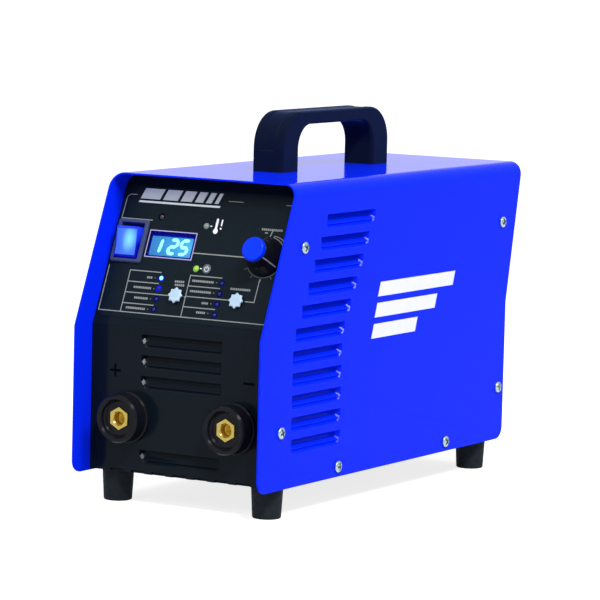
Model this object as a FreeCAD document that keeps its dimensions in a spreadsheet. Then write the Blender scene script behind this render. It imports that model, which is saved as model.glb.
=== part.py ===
import FreeCAD, Part

import math
import os
import re

import Sketcher

# Driving dimensions in millimetres. X is across, Y runs front to rear, Z is up.
SIZES = {
    # sheet-metal case
    "cover_width": 150.0,
    "cover_length": 345.0,
    "cover_height": 205.0,
    "knee_height": 102.0,
    "front_setback": 43.0,
    "rear_overhang": 20.0,
    "sheet": 1.2,
    "cover_bend": 10.0,
    "corner_round": 9.0,
    "knee_round": 6.0,
    "front_recess": 20.0,
    "rear_recess": 2.0,
    "panel_gap": 0.4,
    "panel_lift": 1.5,
    "panel_flange": 18.0,
    "panel_corner": 11.0,
    "top_flange": 12.0,
    "tray_flange": 15.0,
    "trim_over": 6.0,
    # lengths of cutting rods and overlaps of what is joined
    "drill_reach": 200.0,
    "hole_reach": 4.0,
    "weld_in": 0.5,
    "fit_gap": 0.2,
    "loose_gap": 0.1,
    "near_zero": 0.01,
    # pressed louvres
    "louvre_length": 65.0,
    "louvre_height": 9.8,
    "louvre_pitch": 15.0,
    "louvre_count": 11,
    "louvre_top": 182.7,
    "louvre_inset": 41.5,
    "louvre_lean": 41.0,
    "louvre_end": 4.0,
    "press_depth": 3.4,
    "press_skin": 0.96,
    "press_skin_side": 0.84,
    "press_skin_low": 2.5,
    "press_floor_low": 6.4,
    "press_floor_high": 8.6,
    "press_slot": 1.4,
    "slot_inset": 1.0,
    "front_louvre_shift": -0.5,
    "front_louvre_top": 97.4,
    "front_louvre_pitch": 14.2,
    "front_louvre_low": 18.0,
    # plus and minus marks pressed into the front panel
    "mark_spread": 54.0,
    "mark_height": 71.0,
    "mark_size": 9.0,
    "mark_bar": 1.8,
    "mark_depth": 0.5,
    # notches along the bottom of the front panel, and vents in the floor
    "notch_length": 11.0,
    "notch_height": 1.8,
    "notch_pitch": 17.0,
    "notch_count": 7,
    "floor_vent_width": 3.0,
    "floor_vent_length": 90.0,
    "floor_vent_pitch": 12.0,
    "floor_vent_count": 5,
    "floor_vent_start": 150.0,
    # carry handle
    "handle_start": 123.5,
    "handle_length": 150.0,
    "handle_width": 24.5,
    "handle_rise": 42.0,
    "handle_leg": 24.0,
    "handle_bar": 9.5,
    "handle_outer_round": 25.0,
    "handle_inner_round": 17.0,
    "handle_edge": 3.0,
    "handle_screw_radius": 2.4,
    "handle_screw_depth": 16.0,
    # feet
    "foot_height": 21.0,
    "foot_top_radius": 11.0,
    "foot_bottom_radius": 9.8,
    "foot_spread": 60.5,
    "foot_front": 36.0,
    "foot_rear": 22.0,
    "foot_bore": 2.3,
    "foot_well": 4.6,
    "foot_well_depth": 12.0,
    "foot_screw_grip": 2.0,
    # machine screws
    "screw_radius": 2.0,
    "screw_hole": 2.2,
    "screw_head": 4.1,
    "screw_head_height": 2.4,
    "screw_length": 4.8,
    "fan_screw_length": 12.0,
    "screw_drive": 4.4,
    "screw_drive_width": 1.0,
    "screw_drive_depth": 1.2,
    "screw_inset": 7.5,
    "screw_low": 39.0,
    "screw_high": 162.0,
    "tray_screw_up": 7.2,
    "tray_screw_front": 104.0,
    "tray_screw_rear": 257.0,
    # current sockets
    "socket_spread": 43.0,
    "socket_height": 39.7,
    "socket_reach": 14.7,
    "socket_base": 18.0,
    "socket_base_depth": 3.2,
    "socket_ring": 16.6,
    "socket_cup": 12.4,
    "socket_cup_depth": 4.7,
    "socket_neck": 11.0,
    "socket_neck_length": 14.0,
    "socket_hex": 14.4,
    "socket_hex_back": 3.7,
    "socket_bore": 4.5,
    "socket_bore_length": 24.0,
    "socket_stud": 5.0,
    "socket_stud_length": 16.0,
    "socket_nut": 32.0,
    "socket_nut_depth": 6.0,
    "socket_hex_proud": 2.0,
    "socket_taper": 0.5,
    "mould_edge": 0.8,
    "ring_edge": 1.2,
    # rocker switch on the leaning panel
    "switch_across": -58.8,
    "switch_up": 60.5,
    "bezel_width": 25.0,
    "bezel_length": 31.0,
    "bezel_lip": 2.2,
    "switch_body_width": 21.8,
    "switch_body_length": 28.6,
    "switch_depth": 20.0,
    "switch_well_width": 19.0,
    "switch_well_length": 25.8,
    "switch_well_depth": 13.0,
    "rocker_width": 17.8,
    "rocker_length": 21.6,
    "rocker_rise": 10.2,
    "rocker_dip": 9.5,
    "rocker_drop": 5.0,
    "rocker_foot": 17.0,
    "rocker_pivot": 4.0,
    "rocker_pin": 1.25,
    "rocker_pin_reach": 0.6,
    "rocker_tilt": 12.0,
    "blade_width": 6.3,
    "blade_thick": 0.8,
    "blade_length": 9.0,
    "blade_pitch": 7.5,
    "blade_gap": 1.5,
    # display
    "display_across": -25.7,
    "display_up": 60.1,
    "display_width": 37.0,
    "display_height": 18.2,
    "window_thick": 0.8,
    "window_sink": 0.4,
    "module_thick": 11.0,
    "module_border": 3.0,
    # current knob
    "knob_across": 51.3,
    "knob_up": 57.0,
    "knob_lift": 1.2,
    "knob_base": 13.4,
    "knob_rim": 2.0,
    "knob_waist": 10.4,
    "knob_top": 8.8,
    "knob_height": 15.5,
    "knob_cap_height": 3.6,
    "knob_cap_radius": 8.4,
    "knob_hollow": 8.2,
    "knob_hollow_depth": 4.2,
    "knob_roof": 2.0,
    "knob_sweep": 3.0,
    "shaft_radius": 3.0,
    "shaft_gap": 0.05,
    "pot_radius": 8.2,
    "pot_thick": 9.0,
    "pot_floor": 2.5,
    "pot_bush": 3.9,
    "pot_bush_out": 3.2,
    "pot_nut": 11.0,
    "pot_nut_thick": 2.0,
    # push buttons
    "mode_across": -11.3,
    "function_across": 37.3,
    "button_up": 24.4,
    "button_star": 5.8,
    "button_thick": 1.6,
    "button_lift": 1.4,
    "button_stem": 2.9,
    "button_hole": 3.3,
    "button_travel": 0.8,
    "tact_size": 6.0,
    "tact_height": 3.4,
    # lamps
    "lamp_radius": 2.5,
    "small_lamp_radius": 1.5,
    "lamp_collar": 0.5,
    "lamp_collar_thick": 1.0,
    "lamp_tail": 4.0,
    "lamp_proud": 1.2,
    "lamp_column": -1.2,
    "thermal_up": 75.6,
    "supply_up": 44.9,
    "dark_across": -38.5,
    "dark_up": 79.7,
    "left_lamps": -26.7,
    "right_lamps": 22.4,
    "lamp_first_up": 36.0,
    "lamp_pitch": 7.5,
    # printed label
    "label_thick": 0.3,
    "label_half": 72.4,
    "label_low": 6.0,
    "label_high": 101.0,
    "label_corner": 6.0,
    # control board behind the leaning panel
    "board_back": 14.0,
    "board_thick": 1.6,
    "board_left": -45.0,
    "board_right": 66.0,
    "board_low": 5.0,
    "board_high": 90.0,
    "standoff_radius": 2.5,
    "standoff_inset": 4.0,
    # fan
    "fan_size": 92.0,
    "fan_depth": 25.0,
    "fan_up": 123.0,
    "fan_bore": 44.5,
    "fan_hole_pitch": 82.5,
    "fan_hub": 19.0,
    "fan_sweep": 43.0,
    "fan_blade": 1.6,
    "fan_blade_count": 7,
    "fan_chord": 20.0,
    "fan_pitch_angle": 35.0,
    "fan_motor": 17.0,
    "fan_strut": 6.0,
    "fan_strut_thick": 3.0,
    "fan_shaft": 1.5,
    "fan_bearing": 4.0,
    "fan_bearing_length": 14.0,
    "fan_hub_wall": 1.8,
    "fan_front_gap": 1.5,
    "fan_rear_gap": 1.0,
    "grille_first": 8.0,
    "grille_ring": 4.0,
    "grille_pitch": 8.0,
    "grille_count": 5,
    "grille_spoke": 7.0,
    # cable gland
    "gland_across": -45.0,
    "gland_up": 34.0,
    "gland_thread": 8.0,
    "gland_hex": 22.0,
    "gland_hex_thick": 4.5,
    "gland_inside": 9.0,
    "gland_bore": 6.5,
    "gland_neck": 8.0,
    "gland_nut_radius": 11.0,
    "gland_nut_length": 14.0,
    "gland_locknut_thick": 4.0,
    "seal_bore": 5.0,
    "seal_length": 13.0,
    "seal_start": 2.0,
    "gland_nut_taper": 2.0,
    # power electronics
    "power_board_half": 60.0,
    "power_board_up": 73.0,
    "power_board_front": 120.0,
    "power_board_rear": 46.0,
    "pillar_radius": 4.0,
    "pillar_inset": 4.0,
    "pillar_from_rear": 36.0,
    "sink_base": 5.0,
    "sink_height": 74.0,
    "sink_length": 98.0,
    "sink_outer": 46.0,
    "sink_fin": 1.8,
    "sink_fin_length": 32.0,
    "sink_fin_count": 9,
    "sink_rear_gap": 2.0,
    "device_width": 16.0,
    "device_height": 21.0,
    "device_thick": 5.0,
    "device_count": 4,
    "device_first": 8.0,
    "device_pitch": 22.0,
    "device_up": 12.0,
    "capacitor_radius": 15.0,
    "capacitor_height": 45.0,
    "capacitor_pitch": 36.0,
    "capacitor_count": 3,
    "capacitor_back": 26.0,
    "bridge_size": 28.0,
    "bridge_thick": 10.0,
    "bridge_gap": 3.0,
    "core_width": 66.0,
    "core_depth": 40.0,
    "core_height": 54.0,
    "core_leg": 19.0,
    "core_yoke": 9.0,
    "core_window": 14.5,
    "winding_gap": 0.4,
    "winding_reach": 10.0,
    "core_from_front": 205.0,
    "choke_outer": 30.0,
    "choke_inner": 18.0,
    "choke_thick": 20.0,
    "choke_wire": 4.0,
    "choke_gap": 24.0,
    "choke_lift": 1.0,
    "choke_from_front": 110.0,
    "choke_across": 10.0,
    "busbar_width": 16.0,
    "busbar_thick": 3.0,
    "busbar_overlap": 16.0,
    "busbar_drop": 12.0,
    "lead_radius": 3.5,
    "lead_across": 66.0,
}

doc = FreeCAD.newDocument("welding_power_source")
sheet = doc.addObject("Spreadsheet::Sheet", "Dims")
for row, (word, value) in enumerate(SIZES.items(), start=1):
    sheet.set(f"A{row}", word)
    sheet.set(f"B{row}", str(value))
    sheet.setAlias(f"B{row}", word)
doc.recompute()

pieces = []


def rule(text):
    """Turn the words of a size rule into references to the size sheet."""
    return re.sub(r"[a-z_]\w*", lambda hit: "Dims." + hit[0] if hit[0] in SIZES else hit[0], str(text))


def number(text):
    """Work a size rule out as a plain number."""
    result = sheet.evalExpression(rule(text))
    return float(getattr(result, "Value", result))


def bind(thing, **rules):
    for prop, text in rules.items():
        thing.setExpression(prop, rule(text))


def move(thing, spot, axis=None, angle="0"):
    """Bind where a thing stands and how it is turned; one that has its place already is wrapped first."""
    if any("Placement" in entry[0] for entry in thing.ExpressionEngine):
        thing = group(thing.Name + "_moved", [thing])
    if axis:
        thing.Placement = FreeCAD.Placement(FreeCAD.Vector(), FreeCAD.Rotation(FreeCAD.Vector(*axis), 30))
        thing.setExpression("Placement.Rotation.Angle", rule(f"({angle}) * 1 deg"))
    for letter, text in zip("xyz", spot):
        thing.setExpression(f"Placement.Base.{letter}", rule(text))
    return thing


def block(name, across, along, up):
    """A box between a low and a high rule on each axis."""
    thing = doc.addObject("Part::Box", name)
    spans = (across, along, up)
    for prop, (low, high) in zip(("Length", "Width", "Height"), spans):
        thing.setExpression(prop, rule(f"({high}) - ({low})"))
    return move(thing, [low for low, high in spans])


def span(middle, width):
    """A low and a high rule, half the width to each side of the middle."""
    return (f"{middle} - ({width}) / 2", f"{middle} + ({width}) / 2")


def centred(name, width, length, up, at=("0", "0")):
    """A box centred on X and Y."""
    return block(name, span(at[0], width), span(at[1], length), up)


def run_along(thing, spot, axis):
    """Stand a thing built along Z on a spot, along the named axis."""
    turns = {
        "z": (None, "0"),
        "-z": ((1, 0, 0), "180"),
        "x": ((0, 1, 0), "90"),
        "-x": ((0, 1, 0), "-90"),
        "y": ((1, 0, 0), "-90"),
        "-y": ((1, 0, 0), "90"),
    }
    return move(thing, spot, *turns[axis])


def rod(name, radius, length, spot, axis="z"):
    thing = doc.addObject("Part::Cylinder", name)
    bind(thing, Radius=radius, Height=length)
    return run_along(thing, spot, axis)


def drill(name, radius, spot, axis="z"):
    """A rod that reaches far both ways from its spot, to cut a hole right through."""
    back = {"x": 0, "y": 1, "z": 2}[axis]
    start = [f"{text} - drill_reach" if index == back else text for index, text in enumerate(spot)]
    return rod(name, radius, "2 * drill_reach", start, axis)


def cone(name, radius, far_radius, length, spot, axis="z"):
    thing = doc.addObject("Part::Cone", name)
    bind(thing, Radius1=radius, Radius2=far_radius, Height=length)
    return run_along(thing, spot, axis)


def prism(name, sides, across_flats, length, spot, axis="z"):
    """A bar with regular flats, sized across two opposite flats."""
    thing = doc.addObject("Part::Prism", name)
    thing.Polygon = sides
    bind(thing, Circumradius=f"({across_flats}) / 2 / cos(180 deg / {sides})", Height=length)
    return run_along(thing, spot, axis)


def ball(name, radius, spot):
    thing = doc.addObject("Part::Sphere", name)
    bind(thing, Radius=radius)
    return move(thing, spot)


def join(name, things):
    thing = doc.addObject("Part::MultiFuse", name)
    thing.Shapes = things
    return thing


def group(name, things):
    thing = doc.addObject("Part::Compound", name)
    thing.Links = things
    return thing


def cut(name, base, tools):
    thing = doc.addObject("Part::Cut", name)
    thing.Base = base
    thing.Tool = tools[0] if len(tools) == 1 else join(name + "_tools", tools)
    return thing


def keep(label, thing):
    """Name a finished sub-part."""
    thing.Label = label
    if thing.Label != label:
        raise RuntimeError(f"{label} is the label of another object")
    pieces.append(thing)
    return thing


def outline(sketch, corners):
    """Draw one closed outline; a corner is (across, up) or (across, up, radius), all rules."""
    places = [FreeCAD.Vector(number(corner[0]), number(corner[1]), 0) for corner in corners]
    radii = [number(corner[2]) if len(corner) > 2 else 0.0 for corner in corners]
    starts, ends, arcs = [], [], {}
    for index, here in enumerate(places):
        back = (places[index - 1] - here).normalize()
        ahead = (places[(index + 1) % len(places)] - here).normalize()
        half = back.getAngle(ahead) / 2
        reach = radii[index] / math.tan(half)
        ends.append(here + back * reach)
        starts.append(here + ahead * reach)
        if radii[index]:
            hub = here + (back + ahead).normalize() * (radii[index] / math.sin(half))
            arcs[index] = (hub, back.cross(ahead).z < 0)
    first = sketch.GeometryCount
    for index, start in enumerate(starts):
        sketch.addGeometry(Part.LineSegment(start, ends[(index + 1) % len(ends)]))
    for index, corner in enumerate(corners):
        before, after = first + (index - 1) % len(corners), first + index
        tag = f"{first}_{index}"
        if index in arcs:
            hub, left_turn = arcs[index]
            low, high = (ends[index], starts[index]) if left_turn else (starts[index], ends[index])
            curve, point = round_corner(sketch, hub, low, high, places[index], left_turn, before, after)
            hold(sketch, "Radius", (curve,), radii[index], f"round_{tag}", corner[2])
            anchor = (point, 1)
        else:
            sketch.addConstraint(Sketcher.Constraint("Coincident", before, 2, after, 1))
            anchor = (after, 1)
        hold(sketch, "DistanceX", anchor, places[index].x, f"across_{tag}", corner[0])
        hold(sketch, "DistanceY", anchor, places[index].y, f"up_{tag}", corner[1])


def hold(sketch, kind, target, value, name, text):
    """Add a sized constraint and bind it to its rule."""
    held = sketch.addConstraint(Sketcher.Constraint(kind, *target, value))
    sketch.renameConstraint(held, name)
    sketch.setExpression(f"Constraints.{name}", rule(text))


def round_corner(sketch, hub, low, high, corner, left_turn, before, after):
    """Add a tangent arc between two lines, and a construction point where the lines would meet."""
    circle = Part.Circle(hub, FreeCAD.Vector(0, 0, 1), (low - hub).Length)
    curve = sketch.addGeometry(Part.ArcOfCircle(circle, circle.parameter(low), circle.parameter(high)))
    enter, leave = (1, 2) if left_turn else (2, 1)
    sketch.addConstraint(Sketcher.Constraint("Tangent", before, 2, curve, enter))
    sketch.addConstraint(Sketcher.Constraint("Tangent", after, 1, curve, leave))
    point = sketch.addGeometry(Part.Point(corner), True)
    sketch.addConstraint(Sketcher.Constraint("PointOnObject", point, 1, before))
    sketch.addConstraint(Sketcher.Constraint("PointOnObject", point, 1, after))
    return curve, point


def draw(body, name, plane, *outlines):
    """A sketch on one of the body's own origin planes."""
    sketch = body.newObject("Sketcher::SketchObject", name)
    support = [item for item in body.Origin.OriginFeatures if item.Role == plane]
    sketch.AttachmentSupport = [(support[0], "")]
    sketch.MapMode = "FlatFace"
    for corners in outlines:
        outline(sketch, corners)
    return sketch


def new_body(name):
    body = doc.addObject("PartDesign::Body", name)
    doc.recompute()
    return body


def pad(body, name, sketch, length, side="One side", backwards=False):
    feature = body.newObject("PartDesign::Pad", name)
    feature.Profile = sketch
    feature.SideType = side
    feature.Reversed = backwards
    bind(feature, Length=length)
    return feature


def turned(name, *outlines):
    """A body turned about its Z axis from outlines drawn as (radius, height)."""
    body = new_body(name)
    sketch = draw(body, name + "_profile", "XZ_Plane", *outlines)
    feature = body.newObject("PartDesign::Revolution", name + "_turn")
    feature.Profile = sketch
    feature.ReferenceAxis = (sketch, ["V_Axis"])
    feature.Angle = 360
    return body


# Places worked out from the driving dimensions
FRONT = "(-(cover_length + rear_overhang) / 2)"
TOP = "(foot_height + cover_height)"
KNEE = "(foot_height + knee_height)"
LEAN = "atan(front_setback / (cover_height - knee_height))"
PANEL_HALF = "(cover_width / 2 - sheet - panel_gap)"
PANEL_LOW = "(foot_height + panel_lift)"
PANEL_HIGH = "(foot_height + cover_height - sheet - panel_gap)"
PANEL_FACE = f"({FRONT} + front_recess)"
PANEL_BACK = f"({PANEL_FACE} + sheet)"
REAR_FACE = f"({FRONT} + cover_length - rear_recess)"
REAR_BACK = f"({REAR_FACE} - sheet)"
FLOOR = f"({PANEL_LOW} + sheet)"
LEAN_LENGTH = f"(({PANEL_HIGH} - {KNEE}) / cos({LEAN}))"
BOARD_FACE = "(-max(board_back - board_thick; sheet + module_thick + 2 * loose_gap))"


def on_panel(thing, across="0", up="0", out="0", tilt="0"):
    """Stand a thing on the leaning panel: its Z points out of the panel and its Y up the slope."""
    spot = (
        across,
        f"{PANEL_FACE} + ({up}) * sin({LEAN}) - ({out}) * cos({LEAN})",
        f"{KNEE} + ({up}) * cos({LEAN}) + ({out}) * sin({LEAN})",
    )
    return move(thing, spot, (1, 0, 0), f"90 - {LEAN} / 1 deg - ({tilt})")


def screw(name, spot, axis, length="screw_length", radius="screw_radius"):
    """A pan-head machine screw; its head's underside sits on the spot and its shank points back."""
    shank = rod(name + "_shank", radius, f"{length} + weld_in", ("0", "0", f"-({length})"))
    head = rod(name + "_head", "screw_head", "screw_head_height", ("0", "0", "0"))
    half = "screw_drive / 2"
    slit = "screw_drive_width / 2"
    depth = ("screw_head_height - screw_drive_depth", "screw_head_height + hole_reach")
    wide = block(name + "_slot_a", (f"-{half}", half), (f"-{slit}", slit), depth)
    tall = block(name + "_slot_b", (f"-{slit}", slit), (f"-{half}", half), depth)
    return run_along(cut(name, join(name + "_solid", [shank, head]), [wide, tall]), spot, axis)


def louvre(name, spot, turn):
    """A louvre pressed into a sheet: its skin behind the sheet, and the hollow and slot to cut out.

    It is built with its length along X, its height along Z and its depth along Y. The blade leans in
    as it rises, and the slot is under its upper edge.
    """
    made = []
    skin = ("skin", "0", "press_skin_side", "press_skin_low", "press_depth + press_skin")
    hollow = ("hollow", "-near_zero", "0", "0", "press_depth")
    for tag, start, grow, below, deep in (skin, hollow):
        thing = doc.addObject("Part::Wedge", f"{name}_{tag}")
        bind(
            thing,
            Xmin=f"-({grow})",
            Xmax=f"louvre_length + {grow}",
            Zmin=f"-({below})",
            Zmax=f"louvre_height + {grow}",
            Ymin=start,
            Ymax=deep,
            X2min=f"louvre_end - ({grow})",
            X2max=f"louvre_length - louvre_end + {grow}",
            Z2min=f"press_floor_low - ({grow})",
            Z2max=f"press_floor_high + {grow}",
        )
        made.append(thing)
    slot = block(
        f"{name}_slot",
        ("louvre_end + slot_inset", "louvre_length - louvre_end - slot_inset"),
        ("press_depth / 2", "press_depth + 2 * sheet"),
        span("(press_floor_low + press_floor_high) / 2", "press_slot"),
    )
    return [move(thing, spot, (0, 0, 1), turn) for thing in made + [slot]]


def screw_rows():
    """The (Y, Z) places of the screws on one side of the cover, with the part that each one holds."""
    slope = "front_setback / (cover_height - knee_height)"
    low, high = "foot_height + screw_low", "foot_height + screw_high"
    tray = "foot_height + tray_screw_up"
    return {
        "front": [
            (f"{PANEL_FACE} + screw_inset", low),
            (f"{PANEL_FACE} + screw_inset + (screw_high - knee_height) * {slope}", high),
        ],
        "tray": [(f"{FRONT} + tray_screw_front", tray), (f"{FRONT} + tray_screw_rear", tray)],
        "rear": [(f"{REAR_FACE} - screw_inset", low), (f"{REAR_FACE} - screw_inset", high)],
    }


def cross_holes(name, radius, rows):
    """Rods right across the case, to drill both sides at once."""
    return [
        drill(f"{name}_{index}", radius, ("0", along, up), "x")
        for index, (along, up) in enumerate(rows)
    ]


def make_cover():
    """One bent sheet: top and sides, with leaning front and rear edges and pressed louvres."""
    half, inner = "cover_width / 2", "cover_width / 2 - sheet"
    roof = f"{TOP} - sheet"
    body = new_body("cover_sheet")
    section = [
        (half, "foot_height"),
        (half, TOP, "cover_bend"),
        (f"-{half}", TOP, "cover_bend"),
        (f"-{half}", "foot_height"),
        (f"-({inner})", "foot_height"),
        (f"-({inner})", roof, "cover_bend - sheet"),
        (inner, roof, "cover_bend - sheet"),
        (inner, "foot_height"),
    ]
    bent = draw(body, "cover_section", "XZ_Plane", section)
    pad(body, "cover_bent", bent, "cover_length + rear_overhang", "Symmetric")
    over = "(cover_height - knee_height + trim_over) / (cover_height - knee_height)"
    far = "(cover_length + rear_overhang)"
    border = [
        (f"-{far}", "foot_height - trim_over"),
        (far, "foot_height - trim_over"),
        (far, f"{TOP} + 2 * trim_over"),
        (f"-{far}", f"{TOP} + 2 * trim_over"),
    ]
    side = [
        (FRONT, "foot_height", "corner_round"),
        (f"{FRONT} + cover_length", "foot_height", "corner_round"),
        (f"{FRONT} + cover_length", KNEE, "knee_round"),
        (f"{FRONT} + cover_length + rear_overhang * {over}", f"{TOP} + trim_over"),
        (f"{FRONT} + front_setback * {over}", f"{TOP} + trim_over"),
        (FRONT, KNEE, "knee_round"),
    ]
    trim = body.newObject("PartDesign::Pocket", "cover_trim")
    trim.Profile = draw(body, "cover_side", "YZ_Plane", border, side)
    trim.SideType = "Symmetric"
    bind(trim, Length="2 * cover_width")
    skins, hollows = [], []
    for index in range(int(number("louvre_count"))):
        up = f"louvre_top - {index} * louvre_pitch"
        lean = f"louvre_lean * max(0; {up} - knee_height) / (louvre_top - knee_height)"
        start = f"{FRONT} + louvre_inset + {lean}"
        low = f"foot_height + {up} - louvre_height"
        right = louvre(f"right_louvre_{index}", ("cover_width / 2", start, low), "90")
        left = louvre(f"left_louvre_{index}", ("-cover_width / 2", f"{start} + louvre_length", low), "-90")
        for skin, hollow, slot in (right, left):
            skins.append(skin)
            hollows += [hollow, slot]
    rows = [row for held in screw_rows().values() for row in held]
    holes = cross_holes("cover_hole", "screw_hole + loose_gap", rows)
    for index, along in enumerate(handle_screw_places()):
        holes.append(drill(f"handle_hole_{index}", "handle_screw_radius + fit_gap", ("0", along, TOP)))
    return keep("cover", cut("cover", join("cover_pressed", [body] + skins), hollows + holes))


def handle_screw_places():
    """The Y places of the two screws that hold the handle."""
    start = f"{FRONT} + handle_start"
    return [f"{start} + handle_leg / 2", f"{start} + handle_length - handle_leg / 2"]


def round_plate(name, plane, low, high, backwards=False):
    """A sheet as wide as the panels, with its two top corners rounded."""
    body = new_body(name)
    corners = [
        (f"-{PANEL_HALF}", low),
        (PANEL_HALF, low),
        (PANEL_HALF, high, "panel_corner"),
        (f"-{PANEL_HALF}", high, "panel_corner"),
    ]
    pad(body, name + "_pad", draw(body, name + "_face", plane, corners), "sheet", backwards=backwards)
    return body


def panel_holes():
    """What is cut through both the leaning panel and its label, in the leaning panel's own frame."""
    through = ("-hole_reach", "hole_reach")
    rounds = [
        ("pot_bush + fit_gap", "knob_across", "knob_up"),
        ("button_hole", "mode_across", "button_up"),
        ("button_hole", "function_across", "button_up"),
        ("lamp_radius + fit_gap", "lamp_column", "thermal_up"),
        ("lamp_radius + fit_gap", "lamp_column", "supply_up"),
        ("lamp_radius + fit_gap", "dark_across", "dark_up"),
    ]
    rounds += [("small_lamp_radius + loose_gap", across, up) for across, up in status_lamp_places()]
    tools = [
        rod(f"panel_hole_{index}", radius, "2 * hole_reach", (across, up, through[0]))
        for index, (radius, across, up) in enumerate(rounds)
    ]
    switch = ("switch_across", "switch_up", "switch_body_width + fit_gap", "switch_body_length + fit_gap")
    display = ("display_across", "display_up", "display_width", "display_height")
    for name, (across, up, width, height) in (("switch", switch), ("display", display)):
        tools.append(centred(f"opening_{name}", width, height, through, (across, up)))
    return on_panel(group("leaning_holes", tools))


def status_lamp_places():
    """Two columns of four small lamps, first the left column from the top."""
    return [
        (column, f"lamp_first_up - {index} * lamp_pitch")
        for column in ("left_lamps", "right_lamps")
        for index in range(4)
    ]


def side_pair(name, along, up):
    """Two upright flanges, one inside each side of the case."""
    return [
        block(name + "_right", (f"{PANEL_HALF} - sheet", PANEL_HALF), along, up),
        block(name + "_left", (f"-{PANEL_HALF}", f"-({PANEL_HALF} - sheet)"), along, up),
    ]


def make_front_panel(holes):
    """Black sheet: an upright lower part, a leaning upper part, and flanges turned inwards."""
    slope_top = f"({PANEL_FACE} + ({PANEL_HIGH} - {KNEE}) * tan({LEAN}))"
    lip = f"{PANEL_HALF} - 2 * sheet"
    crown = f"{PANEL_HALF} - panel_corner"
    leaning = round_plate("leaning_plate", "XY_Plane", "0", LEAN_LENGTH, backwards=True)
    plates = [
        on_panel(leaning),
        block("upright_plate", (f"-{PANEL_HALF}", PANEL_HALF), (PANEL_FACE, PANEL_BACK), (PANEL_LOW, KNEE)),
        block("bottom_lip", (f"-({lip})", lip), (PANEL_FACE, f"{PANEL_FACE} + top_flange"),
              (FLOOR, f"{FLOOR} + sheet")),
        block("top_lip", (f"-({crown})", crown), (f"{slope_top} + sheet / 2", f"{slope_top} + top_flange"),
              (f"{PANEL_HIGH} - sheet", PANEL_HIGH)),
    ]
    plates += side_pair("upright_flange", (PANEL_FACE, f"{PANEL_FACE} + panel_flange"),
                        (f"{FLOOR} + panel_gap", KNEE))
    leaning_flanges = side_pair("leaning_flange", ("0", f"{LEAN_LENGTH} - cover_bend - panel_corner / 2"),
                                ("-panel_flange", "0"))
    plates.append(on_panel(group("leaning_flanges", leaning_flanges)))
    skins, tools = [], [holes]
    tops = [f"front_louvre_top - {index} * front_louvre_pitch" for index in range(3)] + ["front_louvre_low"]
    for index, top in enumerate(tops):
        low = f"foot_height + {top} - louvre_height"
        start = "front_louvre_shift - louvre_length / 2"
        skin, hollow, slot = louvre(f"front_louvre_{index}", (start, PANEL_FACE, low), "0")
        skins.append(skin)
        tools += [hollow, slot]
    for side, sign in (("positive", "-"), ("negative", "")):
        across = f"{sign}socket_spread"
        tools.append(drill(f"socket_hole_{side}", "socket_neck + fit_gap",
                           (across, PANEL_FACE, "foot_height + socket_height"), "y"))
    tools += cross_holes("front_flange_hole", "screw_hole", screw_rows()["front"])
    tools += pressed_marks()
    for index in range(int(number("notch_count"))):
        across = f"({index} - (notch_count - 1) / 2) * notch_pitch"
        along, rise = (f"{PANEL_FACE} - sheet", PANEL_BACK), span(PANEL_LOW, "2 * notch_height")
        tools.append(block(f"notch_{index}", span(across, "notch_length"), along, rise))
    return keep("front_panel", cut("front_panel", join("front_plates", plates + skins), tools))


def pressed_marks():
    """A plus above the left socket and a minus above the right one."""
    marks = []
    level = "foot_height + mark_height"
    sunk = span(PANEL_FACE, "2 * mark_depth")
    for name, across in (("plus", "-mark_spread"), ("minus", "mark_spread")):
        marks.append(block(f"{name}_bar", span(across, "mark_size"), sunk, span(level, "mark_bar")))
    marks.append(block("plus_stem", span("-mark_spread", "mark_bar"), sunk, span(level, "mark_size")))
    return marks


def fan_screw_places():
    """The four fan screws, as (X, Z)."""
    reach = "fan_hole_pitch / 2"
    middle = "foot_height + fan_up"
    return [(f"{a}({reach})", f"{middle} {b} {reach}") for a in "-+" for b in "-+"]


def crossed_bars(name, width, length, thick, spot):
    """Two flat bars crossed at 45 degrees, thick along Y."""
    bars = []
    for index, turn in enumerate(("45", "-45")):
        bar = block(f"{name}_{index}", span("0", length), ("0", thick), span("0", width))
        bars.append(move(bar, spot, (0, 1, 0), turn))
    return bars


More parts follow.
